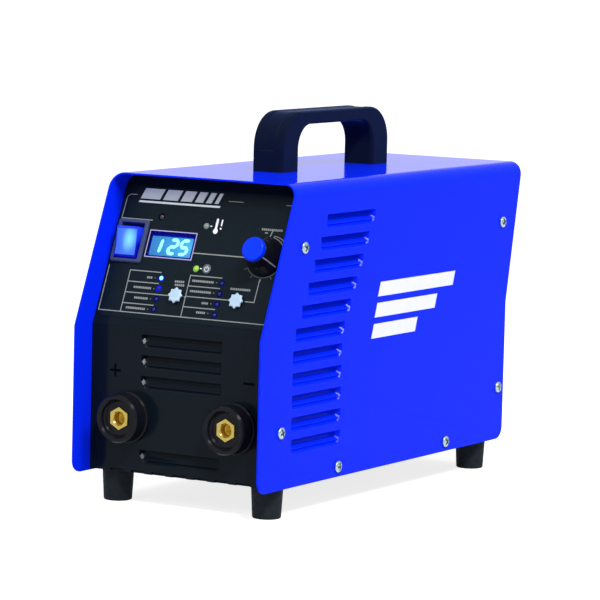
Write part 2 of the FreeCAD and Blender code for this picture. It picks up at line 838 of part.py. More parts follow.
def make_rear_panel():
    """Black sheet with a stamped fan grille, flanges turned inwards and a hole for the cable gland."""
    plate = round_plate("rear_plate", "XZ_Plane", PANEL_LOW, PANEL_HIGH)
    move(plate, ("0", REAR_FACE, "0"))
    lip = f"{PANEL_HALF} - 2 * sheet"
    crown = f"{PANEL_HALF} - panel_corner"
    inward = (f"{REAR_FACE} - top_flange", REAR_FACE)
    plates = [
        plate,
        block("rear_bottom_lip", (f"-({lip})", lip), inward, (FLOOR, f"{FLOOR} + sheet")),
        block("rear_top_lip", (f"-({crown})", crown), inward, (f"{PANEL_HIGH} - sheet", PANEL_HIGH)),
    ]
    plates += side_pair("rear_flange", (f"{REAR_FACE} - panel_flange", REAR_FACE),
                        (f"{FLOOR} + panel_gap", f"{PANEL_HIGH} - cover_bend - panel_corner / 2"))
    middle = "foot_height + fan_up"
    behind = f"{REAR_FACE} - 3 * sheet"
    through = "5 * sheet"
    rings = []
    for index in range(int(number("grille_count"))):
        inner = f"grille_first + {index} * grille_pitch"
        outer = f"{inner} + grille_ring"
        disc, core = [
            rod(f"grille_{index}_{part}", radius, through, ("0", behind, middle), "y")
            for part, radius in (("out", outer), ("in", inner))
        ]
        rings.append(cut(f"grille_{index}", disc, [core]))
    spokes = crossed_bars("grille_spoke", "grille_spoke", "2 * fan_size", through, ("0", behind, middle))
    tools = [cut("grille", group("grille_rings", rings), spokes)]
    tools.append(drill("gland_hole", "gland_thread + fit_gap",
                       ("gland_across", REAR_FACE, "foot_height + gland_up"), "y"))
    for index, (across, up) in enumerate(fan_screw_places()):
        tools.append(drill(f"fan_hole_{index}", "screw_hole", (across, REAR_FACE, up), "y"))
    tools += cross_holes("rear_flange_hole", "screw_hole", screw_rows()["rear"])
    return keep("rear_panel", cut("rear_panel", join("rear_plates", plates), tools))


def foot_places():
    """The four feet, as name, X and Y."""
    front = f"{FRONT} + foot_front"
    rear = f"{FRONT} + cover_length - foot_rear"
    return [
        ("front_left", "-foot_spread", front),
        ("front_right", "foot_spread", front),
        ("rear_left", "-foot_spread", rear),
        ("rear_right", "foot_spread", rear),
    ]


def make_base_tray():
    """The floor of the case, with a flange up each side and rows of slots under the power board."""
    clear = "panel_gap / 2"
    along = (f"{PANEL_BACK} + {clear}", f"{REAR_BACK} - {clear}")
    floor = block("tray_floor", span("0", f"2 * {PANEL_HALF}"), along, (PANEL_LOW, FLOOR))
    gap = "panel_flange + 2 * panel_gap"
    flanges = side_pair("tray_flange", (f"{PANEL_FACE} + {gap}", f"{REAR_FACE} - ({gap})"),
                        (PANEL_LOW, f"{FLOOR} + tray_flange"))
    tools = cross_holes("tray_hole", "screw_hole", screw_rows()["tray"])
    for name, across, along in foot_places():
        tools.append(drill(f"foot_hole_{name}", "foot_bore", (across, along, FLOOR)))
    start = f"{FRONT} + floor_vent_start"
    for index in range(int(number("floor_vent_count"))):
        across = f"({index} - (floor_vent_count - 1) / 2) * floor_vent_pitch"
        tools.append(block(f"floor_vent_{index}", span(across, "floor_vent_width"),
                           (start, f"{start} + floor_vent_length"), span(PANEL_LOW, "4 * sheet")))
    return keep("base_tray", cut("base_tray", join("tray_sheet", [floor] + flanges), tools))


def make_label(holes):
    """Thin printed film on the leaning panel."""
    body = new_body("label_film")
    half = "label_half"
    corners = [
        (f"-{half}", "label_low"),
        (half, "label_low"),
        (half, "label_high", "label_corner"),
        (f"-{half}", "label_high", "label_corner"),
    ]
    pad(body, "label_pad", draw(body, "label_face", "XY_Plane", corners), "label_thick")
    return keep("control_label", cut("control_label", on_panel(body), [holes]))


def make_handle():
    """A moulded U fixed on the top, with rounded edges and two blind screw holes."""
    low, high = f"{FRONT} + handle_start", f"{FRONT} + handle_start + handle_length"
    crest = f"{TOP} + handle_rise"
    under = f"{crest} - handle_bar"
    body = new_body("handle_body")
    corners = [
        (low, TOP),
        (f"{low} + handle_leg", TOP),
        (f"{low} + handle_leg", under, "handle_inner_round"),
        (f"{high} - handle_leg", under, "handle_inner_round"),
        (f"{high} - handle_leg", TOP),
        (high, TOP),
        (high, crest, "handle_outer_round"),
        (low, crest, "handle_outer_round"),
    ]
    profile = draw(body, "handle_side", "YZ_Plane", corners)
    bar = pad(body, "handle_pad", profile, "handle_width", "Symmetric")
    doc.recompute()
    foot, near = number(TOP), number("near_zero")
    rims = []
    for index, edge in enumerate(bar.Shape.Edges, start=1):
        ends = edge.BoundBox
        if ends.XLength < near and ends.ZMax > foot + near:
            rims.append(f"Edge{index}")
    edges = body.newObject("PartDesign::Fillet", "handle_edges")
    edges.Base = (bar, rims)
    bind(edges, Radius="handle_edge")
    width = "handle_screw_radius + loose_gap"
    holes = [
        rod(f"handle_blind_{index}", width, "handle_screw_depth", ("0", along, TOP))
        for index, along in enumerate(handle_screw_places())
    ]
    keep("handle", cut("handle", body, holes))
    screws = [
        screw(f"handle_screw_{index}", ("0", along, f"{TOP} - sheet"), "-z", "handle_screw_depth",
              "handle_screw_radius")
        for index, along in enumerate(handle_screw_places())
    ]
    keep("handle_screws", group("handle_screws", screws))


def make_feet():
    """Tapered rubber feet, each with a screw sunk in a well under it."""
    screws = []
    for name, across, along in foot_places():
        spot = (across, along, "0")
        tower = cone(f"foot_{name}_cone", "foot_bottom_radius", "foot_top_radius", PANEL_LOW, spot)
        well = rod(f"foot_{name}_well", "foot_well", "foot_well_depth", spot)
        bore = drill(f"foot_{name}_bore", "foot_bore", spot)
        keep(f"foot_{name}", cut(f"foot_{name}", tower, [well, bore]))
        length = f"{FLOOR} - foot_well_depth + foot_screw_grip"
        screws.append(screw(f"foot_screw_{name}", (across, along, "foot_well_depth"), "-z", length))
    keep("foot_screws", group("foot_screws", screws))


def make_cover_screws():
    """Six screws in each side, through the cover into the flanges behind it."""
    screws = []
    for held, rows in screw_rows().items():
        for index, (along, up) in enumerate(rows):
            screws.append(screw(f"right_{held}_{index}", ("cover_width / 2", along, up), "x"))
            screws.append(screw(f"left_{held}_{index}", ("-cover_width / 2", along, up), "-x"))
    keep("cover_screws", group("cover_screws", screws))


def upright_hexagon(name, across_flats, length, start):
    """A hexagonal bar along Z with a corner towards Y."""
    bar = prism(name, 6, across_flats, length, ("0", "0", start))
    return move(bar, ("0", "0", "0"), (0, 0, 1), "30")


def hex_nut(name, across_flats, depth, bore, start="0"):
    """A plain hexagonal nut along Z."""
    return cut(name, prism(name + "_hex", 6, across_flats, depth, ("0", "0", start)),
               [drill(name + "_bore", bore, ("0", "0", "0"))])


def make_sockets():
    """Two current sockets: a moulded body with a cup, a hexagonal brass insert and a nut behind."""
    nuts = []
    floor = "(socket_reach - socket_cup_depth)"
    face = "(socket_reach - socket_hex_back)"
    hex_end = "(socket_neck_length + socket_hex_proud)"
    for side, sign in (("positive", "-"), ("negative", "")):
        spot = (f"{sign}socket_spread", PANEL_FACE, "foot_height + socket_height")
        shell = turned(f"socket_{side}_shell", [
            ("0", "-socket_neck_length"),
            ("socket_neck", "-socket_neck_length"),
            ("socket_neck", "0"),
            ("socket_base", "0"),
            ("socket_base", "socket_base_depth", "mould_edge"),
            ("socket_ring + socket_taper", "socket_base_depth"),
            ("socket_ring", "socket_reach", "ring_edge"),
            ("socket_cup + socket_taper", "socket_reach", "mould_edge"),
            ("socket_cup", floor),
            ("0", floor),
        ])
        opening, low = "socket_hex + loose_gap", "-drill_reach / 2"
        hole = upright_hexagon(f"socket_{side}_hole", opening, "drill_reach", low)
        keep(f"socket_{side}_body", run_along(cut(f"socket_{side}_body", shell, [hole]), spot, "-y"))
        bar = upright_hexagon(f"socket_{side}_hex", "socket_hex", f"{face} + {hex_end}", f"-{hex_end}")
        stud = rod(f"socket_{side}_stud", "socket_stud", "socket_stud_length + weld_in",
                   ("0", "0", f"-({hex_end} + socket_stud_length)"))
        bore = rod(f"socket_{side}_bore", "socket_bore", "socket_bore_length + weld_in",
                   ("0", "0", f"{face} - socket_bore_length"))
        insert = cut(f"socket_{side}_insert", join(f"socket_{side}_brass", [bar, stud]), [bore])
        keep(f"socket_{side}_insert", run_along(insert, spot, "-y"))
        nut = hex_nut(f"socket_nut_{side}", "socket_nut", "socket_nut_depth", "socket_neck + loose_gap")
        nuts.append(run_along(nut, (spot[0], PANEL_BACK, spot[2]), "y"))
    keep("socket_nuts", group("socket_nuts", nuts))


def make_switch():
    """Rocker switch: a housing clipped in the panel, the rocker on its pins and three blades."""
    place = ("switch_across", "switch_up")
    top = "label_thick + bezel_lip"
    deep, hollow = ("-switch_depth", f"{top} - weld_in"), ("-switch_well_depth", "hole_reach")
    shell = join("switch_shell", [
        centred("switch_bezel", "bezel_width", "bezel_length", ("label_thick", top)),
        centred("switch_box", "switch_body_width", "switch_body_length", deep),
    ])
    well = centred("switch_well", "switch_well_width", "switch_well_length", hollow)
    pins = rod("switch_pin_hole", "rocker_pin + shaft_gap", "switch_body_width",
               ("-switch_body_width / 2", "0", "-rocker_pivot"), "x")
    keep("power_switch_housing", on_panel(cut("power_switch_housing", shell, [well, pins]), *place))
    body = new_body("rocker_body")
    end, foot = "rocker_length / 2", "rocker_foot / 2"
    corners = [
        (f"-{foot}", "-rocker_drop"),
        (foot, "-rocker_drop"),
        (end, "0"),
        (end, "rocker_rise", "mould_edge"),
        ("0", "rocker_dip"),
        (f"-{end}", "rocker_rise", "mould_edge"),
        (f"-{end}", "0"),
    ]
    pad(body, "rocker_pad", draw(body, "rocker_side", "YZ_Plane", corners), "rocker_width", "Symmetric")
    reach = "(switch_well_width / 2 + rocker_pin_reach)"
    pin = rod("rocker_pin", "rocker_pin", f"2 * {reach}", (f"-{reach}", "0", "0"), "x")
    rocker = join("power_switch_rocker", [body, pin])
    keep("power_switch_rocker", on_panel(rocker, *place, "-rocker_pivot", "-rocker_tilt"))
    blades = [
        centred(f"switch_blade_{index}", "blade_width", "blade_thick",
                ("-(switch_depth + blade_length)", "-switch_depth"), ("0", f"{index} * blade_pitch"))
        for index in (-1, 0, 1)
    ]
    keep("power_switch_terminals", on_panel(group("power_switch_terminals", blades), *place))


def make_display():
    """A clear window sunk in its opening, and the display module behind it."""
    place = ("display_across", "display_up")
    window = centred("window_sheet", "display_width - fit_gap", "display_height - fit_gap",
                     ("-(window_sink + window_thick)", "-window_sink"))
    keep("display_window", on_panel(window, *place))
    face = "-(sheet + loose_gap)"
    module = centred("module_block", "display_width + module_border", "display_height + module_border",
                     (f"{face} - module_thick", face))
    keep("display_module", on_panel(module, *place))


def make_knob():
    """The current knob with its cap and shaft, and the potentiometer that they turn."""
    place = ("knob_across", "knob_up")
    bore = "shaft_radius + shaft_gap"
    bore_end = "knob_height - knob_roof"
    skirt = turned("knob_skirt", [
        ("knob_hollow", "knob_lift"),
        ("knob_base", "knob_lift"),
        ("knob_base", "knob_lift + knob_rim", "mould_edge"),
        ("knob_waist", "knob_lift + knob_height / 2", "knob_sweep"),
        ("knob_top", "knob_height"),
        ("0", "knob_height"),
        ("0", bore_end),
        (bore, bore_end),
        (bore, "knob_hollow_depth"),
        ("knob_hollow", "knob_hollow_depth"),
    ])
    keep("knob_skirt", on_panel(skirt, *place))
    cap = turned("knob_cap", [
        ("0", "knob_height"),
        ("knob_cap_radius", "knob_height"),
        ("knob_cap_radius", "knob_height + knob_cap_height", "ring_edge"),
        ("0", "knob_height + knob_cap_height"),
    ])
    keep("knob_cap", on_panel(cap, *place))
    board = BOARD_FACE
    foot = f"({board} + pot_floor)"
    shaft = rod("potentiometer_rod", "shaft_radius", f"{bore_end} - fit_gap - ({foot} + fit_gap)",
                ("0", "0", f"{foot} + fit_gap"))
    keep("potentiometer_shaft", on_panel(shaft, *place))
    can = join("potentiometer_can", [
        rod("potentiometer_case", "pot_radius", "pot_thick", ("0", "0", board)),
        rod("potentiometer_bush", "pot_bush", f"pot_bush_out - ({board})", ("0", "0", board)),
    ])
    journal = rod("potentiometer_bore", "shaft_radius + shaft_gap", "drill_reach", ("0", "0", foot))
    keep("potentiometer_body", on_panel(cut("potentiometer_body", can, [journal]), *place))
    nut = hex_nut("potentiometer_nut", "pot_nut", "pot_nut_thick", "pot_bush + loose_gap", "label_thick")
    keep("potentiometer_nut", on_panel(nut, *place))


def make_buttons():
    """Two star-shaped push buttons, each over a switch on the control board."""
    board = BOARD_FACE
    switches = []
    for name, across in (("mode", "mode_across"), ("function", "function_across")):
        flats = "2 * button_star * cos(45 deg)"
        squares = [
            move(prism(f"{name}_prism_{turn}", 4, flats, "button_thick", ("0", "0", "button_lift")),
                 ("0", "0", "0"), (0, 0, 1), turn)
            for turn in ("0", "45")
        ]
        foot = f"{board} + tact_height + button_travel + fit_gap"
        stem = rod(f"{name}_stem", "button_stem", f"button_lift + weld_in - ({foot})", ("0", "0", foot))
        keep(f"{name}_button", on_panel(join(f"{name}_button", squares + [stem]), across, "button_up"))
        tact = centred(f"{name}_switch", "tact_size", "tact_size", (board, f"{board} + tact_height"))
        switches.append(on_panel(tact, across, "button_up"))
    keep("button_switches", group("button_switches", switches))


def lamp(name, radius, across, up):
    """A lamp: a straight body with a domed end just proud of the label, and a collar behind."""
    behind = "-(sheet + loose_gap)"
    tail = f"({behind} - lamp_tail)"
    stalk = rod(name + "_stalk", radius, f"label_thick - {tail}", ("0", "0", tail))
    dome = ball(name + "_dome", radius, ("0", "0", f"label_thick + lamp_proud - {radius}"))
    collar = rod(name + "_collar", f"{radius} + lamp_collar", "lamp_collar_thick",
                 ("0", "0", f"{behind} - lamp_collar_thick"))
    return on_panel(join(name, [stalk, dome, collar]), across, up)


def make_lamps():
    keep("lamp_supply", lamp("lamp_supply", "lamp_radius", "lamp_column", "supply_up"))
    keep("lamp_thermal", lamp("lamp_thermal", "lamp_radius", "lamp_column", "thermal_up"))
    keep("lamp_dark", lamp("lamp_dark", "lamp_radius", "dark_across", "dark_up"))
    small = [
        lamp(f"lamp_status_{index}", "small_lamp_radius", across, up)
        for index, (across, up) in enumerate(status_lamp_places())
    ]
    keep("lamp_status_lit", small[0])
    keep("lamps_status", group("lamps_status", small[1:]))


def make_control_board():
    """The board behind the leaning panel, held off it by four standoffs."""
    face = BOARD_FACE
    board = block("control_board_sheet", ("board_left", "board_right"), ("board_low", "board_high"),
                  (f"{face} - board_thick", face))
    keep("control_board", on_panel(board))
    posts = [
        rod(f"standoff_{side}_{level}", "standoff_radius", f"-sheet - ({face})",
            (f"board_{side} {inward} standoff_inset", f"board_{level} {upward} standoff_inset", face))
        for side, inward in (("left", "+"), ("right", "-"))
        for level, upward in (("low", "+"), ("high", "-"))
    ]
    keep("board_standoffs", on_panel(group("board_standoffs", posts)))


def make_fan():
    """An axial fan: a square frame with a motor plate on struts, and a bladed rotor on its shaft."""
    middle = "foot_height + fan_up"
    front = f"({REAR_BACK} - fan_depth)"
    case = block("fan_case", span("0", "fan_size"), (front, REAR_BACK), span(middle, "fan_size"))
    tools = [drill("fan_duct", "fan_bore", ("0", front, middle), "y")]
    for index, (across, up) in enumerate(fan_screw_places()):
        tools.append(drill(f"fan_frame_hole_{index}", "screw_hole", (across, front, up), "y"))
    strut_face = f"({REAR_BACK} - fan_strut_thick)"
    struts = crossed_bars("fan_strut", "fan_strut", "2 * (fan_bore + weld_in)", "fan_strut_thick",
                          ("0", strut_face, middle))
    bearing = ("0", f"{strut_face} - fan_bearing_length", middle)
    struts += [
        rod("fan_motor_plate", "fan_motor", "fan_strut_thick", ("0", strut_face, middle), "y"),
        rod("fan_bearing", "fan_bearing", "fan_bearing_length + weld_in", bearing, "y"),
    ]
    frame = join("fan_frame_solid", [cut("fan_frame_open", case, tools)] + struts)
    journal = rod("fan_journal", "fan_shaft + shaft_gap", "fan_bearing_length", bearing, "y")
    keep("fan_frame", cut("fan_frame", frame, [journal]))
    length = "(fan_depth - fan_strut_thick - fan_front_gap - fan_rear_gap)"
    cup = cut("fan_cup", rod("fan_hub", "fan_hub", length, ("0", "0", "0")),
              [rod("fan_hub_hollow", "fan_hub - fan_hub_wall", length, ("0", "0", "fan_hub_wall"))])
    shaft = rod("fan_shaft", "fan_shaft", f"{length} - weld_in", ("0", "0", "weld_in"))
    blades = []
    for index in range(int(number("fan_blade_count"))):
        blade = block(f"fan_blade_{index}", ("fan_hub - weld_in", "fan_size / 2"), span("0", "fan_blade"),
                      span("0", "fan_chord"))
        pitched = move(blade, ("0", "0", f"{length} / 2"), (1, 0, 0), "fan_pitch_angle")
        blades.append(move(pitched, ("0", "0", "0"), (0, 0, 1), f"{index} * 360 / fan_blade_count"))
    trimmed = doc.addObject("Part::Common", "fan_blades")
    trimmed.Base = join("fan_blades_long", blades)
    trimmed.Tool = rod("fan_sweep", "fan_sweep", length, ("0", "0", "0"))
    rotor = join("fan_rotor", [cup, shaft, trimmed])
    keep("fan_rotor", run_along(rotor, ("0", f"{front} + fan_front_gap", middle), "y"))
    screws = [
        screw(f"fan_screw_{index}", (across, REAR_FACE, up), "y", "fan_screw_length")
        for index, (across, up) in enumerate(fan_screw_places())
    ]
    keep("fan_screws", group("fan_screws", screws))


def make_gland():
    """The mains cable gland: body, sealing ring, dome nut outside and locknut inside."""
    spot = ("gland_across", REAR_FACE, "foot_height + gland_up")
    seat = "gland_hex_thick"
    inside = "(sheet + gland_inside)"
    body = join("gland_solid", [
        prism("gland_hex", 6, "gland_hex", seat, ("0", "0", "0")),
        rod("gland_thread", "gland_thread", f"{inside} + gland_neck + {seat}", ("0", "0", f"-{inside}")),
    ])
    axis = ("0", "0", "0")
    bore = drill("gland_bore", "gland_bore", axis)
    keep("gland_body", run_along(cut("gland_body", body, [bore]), spot, "y"))
    ring = rod("seal_ring", "gland_bore - shaft_gap", "seal_length", ("0", "0", "seal_start"))
    seal = cut("gland_seal", ring, [drill("seal_hole", "seal_bore", axis)])
    keep("gland_seal", run_along(seal, spot, "y"))
    start = f"{seat} + fit_gap"
    dome = join("gland_dome", [
        prism("gland_nut_hex", 6, "gland_hex", "gland_nut_length / 2", ("0", "0", start)),
        cone("gland_nut_dome", "gland_nut_radius", "gland_nut_radius - gland_nut_taper", "gland_nut_length",
             ("0", "0", start)),
    ])
    hollow = rod("gland_nut_hollow", "gland_thread + loose_gap", f"{seat} + gland_neck + fit_gap", axis)
    mouth = drill("gland_nut_mouth", "gland_bore", axis)
    keep("gland_nut", run_along(cut("gland_nut", dome, [hollow, mouth]), spot, "y"))
    locknut = hex_nut("gland_locknut", "gland_hex", "gland_locknut_thick", "gland_thread + loose_gap")
    keep("gland_locknut", run_along(locknut, (spot[0], REAR_BACK, spot[2]), "-y"))


BOARD_FRONT = f"({FRONT} + power_board_front)"
BOARD_REAR = f"({REAR_FACE} - power_board_rear)"
BOARD_UNDER = "(foot_height + power_board_up)"
BOARD_TOP = f"({BOARD_UNDER} + board_thick)"


def make_power_board():
    """The main board on four pillars, with its capacitors and bridge rectifier."""
    wide, long = span("0", "2 * power_board_half"), (BOARD_FRONT, BOARD_REAR)
    keep("power_board", block("power_board", wide, long, (BOARD_UNDER, BOARD_TOP)))
    rows = {"front": f"{BOARD_FRONT} + pillar_inset", "rear": f"{BOARD_REAR} - pillar_from_rear"}
    inset = "(power_board_half - pillar_inset)"
    pillars = [
        rod(f"pillar_{row}_{side}", "pillar_radius", f"{BOARD_UNDER} - {FLOOR}", (across, along, FLOOR))
        for row, along in rows.items()
        for side, across in (("left", f"-{inset}"), ("right", inset))
    ]
    keep("board_pillars", group("board_pillars", pillars))
    cans = []
    for index in range(int(number("capacitor_count"))):
        across = f"({index} - (capacitor_count - 1) / 2) * capacitor_pitch"
        spot = (across, f"{BOARD_FRONT} + capacitor_back", BOARD_TOP)
        cans.append(rod(f"capacitor_{index}", "capacitor_radius", "capacitor_height", spot))
    keep("capacitors", group("capacitors", cans))
    start = f"{BOARD_FRONT} + capacitor_back + capacitor_radius + bridge_gap"
    bridge = block("bridge_rectifier", span("0", "bridge_size"), (start, f"{start} + bridge_size"),
                   (BOARD_TOP, f"{BOARD_TOP} + bridge_thick"))
    keep("bridge_rectifier", bridge)


def make_heatsinks():
    """Two finned heatsinks facing each other, with the power devices on their outer faces."""
    rear = f"{BOARD_REAR} - sink_rear_gap"
    front = f"{rear} - sink_length"
    high = f"{BOARD_TOP} + sink_height"
    for side, sign, devices in (("left", "-1", "power_transistors"), ("right", "1", "output_diodes")):
        def across(near, far):
            """A span measured outwards from the middle, on this side."""
            return (f"-({far})", f"-({near})") if sign == "-1" else (near, far)

        bars = [block(f"sink_{side}_base", across("sink_outer - sink_base", "sink_outer"), (front, rear),
                      (BOARD_TOP, high))]
        root = "sink_outer - sink_base"
        wide = across(f"{root} - sink_fin_length", f"{root} + weld_in")
        for index in range(int(number("sink_fin_count"))):
            low = f"{BOARD_TOP} + {index} * (sink_height - sink_fin) / (sink_fin_count - 1)"
            bars.append(block(f"sink_{side}_fin_{index}", wide, (front, rear), (low, f"{low} + sink_fin")))
        keep(f"heatsink_{side}", join(f"heatsink_{side}", bars))
        low = f"{BOARD_TOP} + device_up"
        thick, tall = across("sink_outer", "sink_outer + device_thick"), (low, f"{low} + device_height")
        cases = []
        for index in range(int(number("device_count"))):
            start = f"{front} + device_first + {index} * device_pitch"
            cases.append(block(f"{devices}_{index}", thick, (start, f"{start} + device_width"), tall))
        keep(devices, group(devices, cases))


def make_transformer():
    """Main transformer: a ferrite core with two windows, and the winding round its middle leg."""
    middle = f"({FRONT} + core_from_front)"
    leg, reach = "core_leg / 2", "core_leg / 2 + core_window"
    tall = (FLOOR, f"{FLOOR} + core_height")
    frame = block("core_frame", span("0", "core_width"), span(middle, "core_depth"), tall)
    open_up = (f"{FLOOR} + core_yoke", f"{FLOOR} + core_height - core_yoke")
    beyond = span(middle, "2 * core_depth")
    windows = [block("core_window_right", (leg, reach), beyond, open_up),
               block("core_window_left", (f"-({reach})", f"-({leg})"), beyond, open_up)]
    keep("transformer_core", cut("transformer_core", frame, windows))
    gap = "winding_gap"
    wide, long = f"2 * ({reach} - {gap})", "core_depth + 2 * winding_reach"
    coil_up = (f"{open_up[0]} + {gap}", f"{open_up[1]} - {gap}")
    coil = block("winding_coil", span("0", wide), span(middle, long), coil_up)
    room = (span("0", f"core_leg + 2 * {gap}"), span(middle, f"core_depth + 2 * {gap}"))
    hole = block("winding_hole", *room, tall)
    keep("transformer_winding", cut("transformer_winding", coil, [hole]))


def make_choke():
    """Output choke: a ring core inside a ring of wire that leaves a gap at the front."""
    spot = ("choke_across", f"{FRONT} + choke_from_front")
    low = f"{FLOOR} + choke_wire + choke_lift"

    def ring(name, outer, inner, start, thick):
        return cut(name, rod(name + "_outer", outer, thick, (*spot, start)),
                   [drill(name + "_inner", inner, (*spot, start))])

    keep("choke_core", ring("choke_core", "choke_outer", "choke_inner", low, "choke_thick"))
    gap = "winding_gap"
    wire = ring("choke_wire", "choke_outer + choke_wire", "choke_inner - choke_wire", f"{low} - choke_wire",
                "choke_thick + 2 * choke_wire")
    inside = ring("choke_inside", f"choke_outer + {gap}", f"choke_inner - {gap}", f"{low} - {gap}",
                  f"choke_thick + 2 * {gap}")
    slit = block("choke_slit", span(spot[0], "choke_gap"), (f"{spot[1]} - 2 * choke_outer", spot[1]),
                 (FLOOR, f"{FLOOR} + 3 * choke_thick"))
    keep("choke_winding", cut("choke_winding", wire, [inside, slit]))


def make_busbars():
    """A copper bar from each socket stud up and back to the power board."""
    height = "foot_height + socket_height"
    start = f"({PANEL_FACE} + socket_neck_length + socket_hex_proud)"
    for side, across in (("positive", "-socket_spread"), ("negative", "socket_spread")):
        width = span(across, "busbar_width")
        upright = block(f"busbar_{side}_up", width, (start, f"{start} + busbar_thick"),
                        (f"{height} - busbar_drop", BOARD_UNDER))
        level = block(f"busbar_{side}_back", width, (start, f"{BOARD_FRONT} + busbar_overlap"),
                      (f"{BOARD_UNDER} - busbar_thick", BOARD_UNDER))
        hole = drill(f"busbar_{side}_hole", "socket_stud + loose_gap", (across, start, height), "y")
        keep(f"busbar_{side}", cut(f"busbar_{side}", join(f"busbar_{side}_bent", [upright, level]), [hole]))


def tube_path(points):
    """Straight runs joined by tangent arcs, each taking just under half of its shorter run."""
    share = 0.45
    edges, radii = [], []
    start = points[0]
    for before, corner, after in zip(points, points[1:], points[2:]):
        back, ahead = before - corner, after - corner
        run = min(back.Length, ahead.Length)
        half = back.getAngle(ahead) / 2
        reach = share * run
        radii.append(reach * math.tan(half))
        enter = corner + back.normalize() * reach
        leave = corner + ahead.normalize() * reach
        toward = (back + ahead).normalize()
        middle = corner + toward * (radii[-1] / math.sin(half) - radii[-1])
        edges.append(Part.LineSegment(start, enter).toShape())
        edges.append(Part.Arc(enter, middle, leave).toShape())
        start = leave
    edges.append(Part.LineSegment(start, points[-1]).toShape())
    return Part.Wire(edges), radii


def make_mains_lead():
    """The inner mains lead, from the gland along the left side and up to the rocker switch."""
    side = -number("lead_across")
    height = number("foot_height + gland_up")
    gland = number(f"{REAR_BACK} - gland_inside - fit_gap")
    back = number(f"({PANEL_FACE}) + switch_up * sin({LEAN})")
    rise = number(f"{KNEE} + switch_up * cos({LEAN})")
    lean = math.radians(number(LEAN))
    inward = FreeCAD.Vector(0, math.cos(lean), -math.sin(lean))
    reach = number("switch_depth + blade_length + blade_gap")
    blades = FreeCAD.Vector(number("switch_across"), back, rise) + inward * reach
    across = number("gland_across")
    # each stop is how far to the front of the gland and above it
    straight, last_run = 22, 25
    stops = [(60, 0), (105, -3), (155, 0), (198, 11), (224, 42), (233, 78)]
    points = [FreeCAD.Vector(across, gland, height), FreeCAD.Vector(across, gland - straight, height)]
    points += [FreeCAD.Vector(side, gland - forward, height + up) for forward, up in stops]
    points += [blades + inward * last_run, blades]
    path, radii = tube_path(points)
    radius = number("lead_radius")
    start = Part.Circle(points[0], points[1] - points[0], radius).toShape()
    solid = path.makePipeShell([Part.Wire(start)], True, False)
    expected = math.pi * radius ** 2 * path.Length
    print("mains lead radii", [round(value, 1) for value in radii], "length", round(path.Length, 1))
    print("mains lead volume over section times length", round(solid.Volume / expected, 4))
    lead = doc.addObject("Part::Feature", "mains_lead")
    lead.Shape = solid
    keep("mains_lead", lead)


def check_and_write():
    """Stop if any object failed, then write one STEP file for each sub-part."""
    doc.recompute()
    failed = [thing.Name for thing in doc.Objects if {"Invalid", "Error"} & set(thing.State)]
    empty = [thing.Label for thing in pieces if thing.Shape.isNull() or not thing.Shape.isValid()]
    if failed or empty:
        raise RuntimeError(f"failed objects {failed}, bad shapes {empty}")
    os.makedirs("parts", exist_ok=True)
    for thing in pieces:
        thing.Shape.exportStep(f"parts/{thing.Label}.step")
    print(len(pieces), "sub-parts written")


leaning_holes = panel_holes()
make_cover()
make_front_panel(leaning_holes)
make_rear_panel()
make_base_tray()
make_label(leaning_holes)
make_handle()
make_feet()
make_cover_screws()
make_sockets()
make_switch()
make_display()
make_knob()
make_buttons()
make_lamps()
make_control_board()
make_fan()
make_gland()
make_power_board()
make_heatsinks()
make_transformer()
make_choke()
make_busbars()
make_mains_lead()
check_and_write()
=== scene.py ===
import math

import bmesh
import bpy
from mathutils import Matrix, Vector


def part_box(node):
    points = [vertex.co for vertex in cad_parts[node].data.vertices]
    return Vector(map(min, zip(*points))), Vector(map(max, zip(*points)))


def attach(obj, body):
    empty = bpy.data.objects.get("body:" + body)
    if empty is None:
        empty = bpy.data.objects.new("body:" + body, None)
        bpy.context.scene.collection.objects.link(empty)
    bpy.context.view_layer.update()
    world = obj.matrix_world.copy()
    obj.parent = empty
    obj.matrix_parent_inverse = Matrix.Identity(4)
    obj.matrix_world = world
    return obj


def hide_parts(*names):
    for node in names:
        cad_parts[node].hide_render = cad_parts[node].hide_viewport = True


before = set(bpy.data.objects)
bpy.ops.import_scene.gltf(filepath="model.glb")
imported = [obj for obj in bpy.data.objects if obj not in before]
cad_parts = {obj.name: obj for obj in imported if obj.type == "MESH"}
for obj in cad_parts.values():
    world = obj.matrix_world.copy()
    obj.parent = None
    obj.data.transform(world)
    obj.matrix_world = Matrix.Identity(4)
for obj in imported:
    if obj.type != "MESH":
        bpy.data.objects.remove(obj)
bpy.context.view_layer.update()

# Lengths are in millimetres until a piece is made; X is across, Y runs front to rear, Z is up.
MM = 0.001


def box_mm(node):
    low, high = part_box(node)
    return low / MM, high / MM


# The case: one bent sheet whose front edge leans back above the knee and whose rear edge overhangs.
COVER_LOW, COVER_HIGH = box_mm("cover")
PANEL_LOW, PANEL_HIGH = box_mm("front_panel")
HALF = COVER_HIGH.x
FRONT, REAR = COVER_LOW.y, COVER_HIGH.y
BOTTOM, TOP = COVER_LOW.z, COVER_HIGH.z
FACE = PANEL_LOW.y
SHEET = 1.2
KNEE = BOTTOM + 102
SETBACK = 43
OVERHANG = 20
CORNER_ROUND = 9
KNEE_ROUND = 6
BEND = 10
LEAN = math.atan2(SETBACK, TOP - KNEE)
SLOPE_LENGTH = (PANEL_HIGH.z - KNEE) / math.cos(LEAN)
PANEL_BEND = 3
PANEL_CORNER = 11

# Pressed louvres in the sides and in the front panel.
LOUVRE_LENGTH = 65
LOUVRE_HEIGHT = 9.8
LOUVRE_PITCH = 15
LOUVRE_COUNT = 11
LOUVRE_TOP = 182.7
LOUVRE_INSET = 41.5
LOUVRE_LEAN = 41
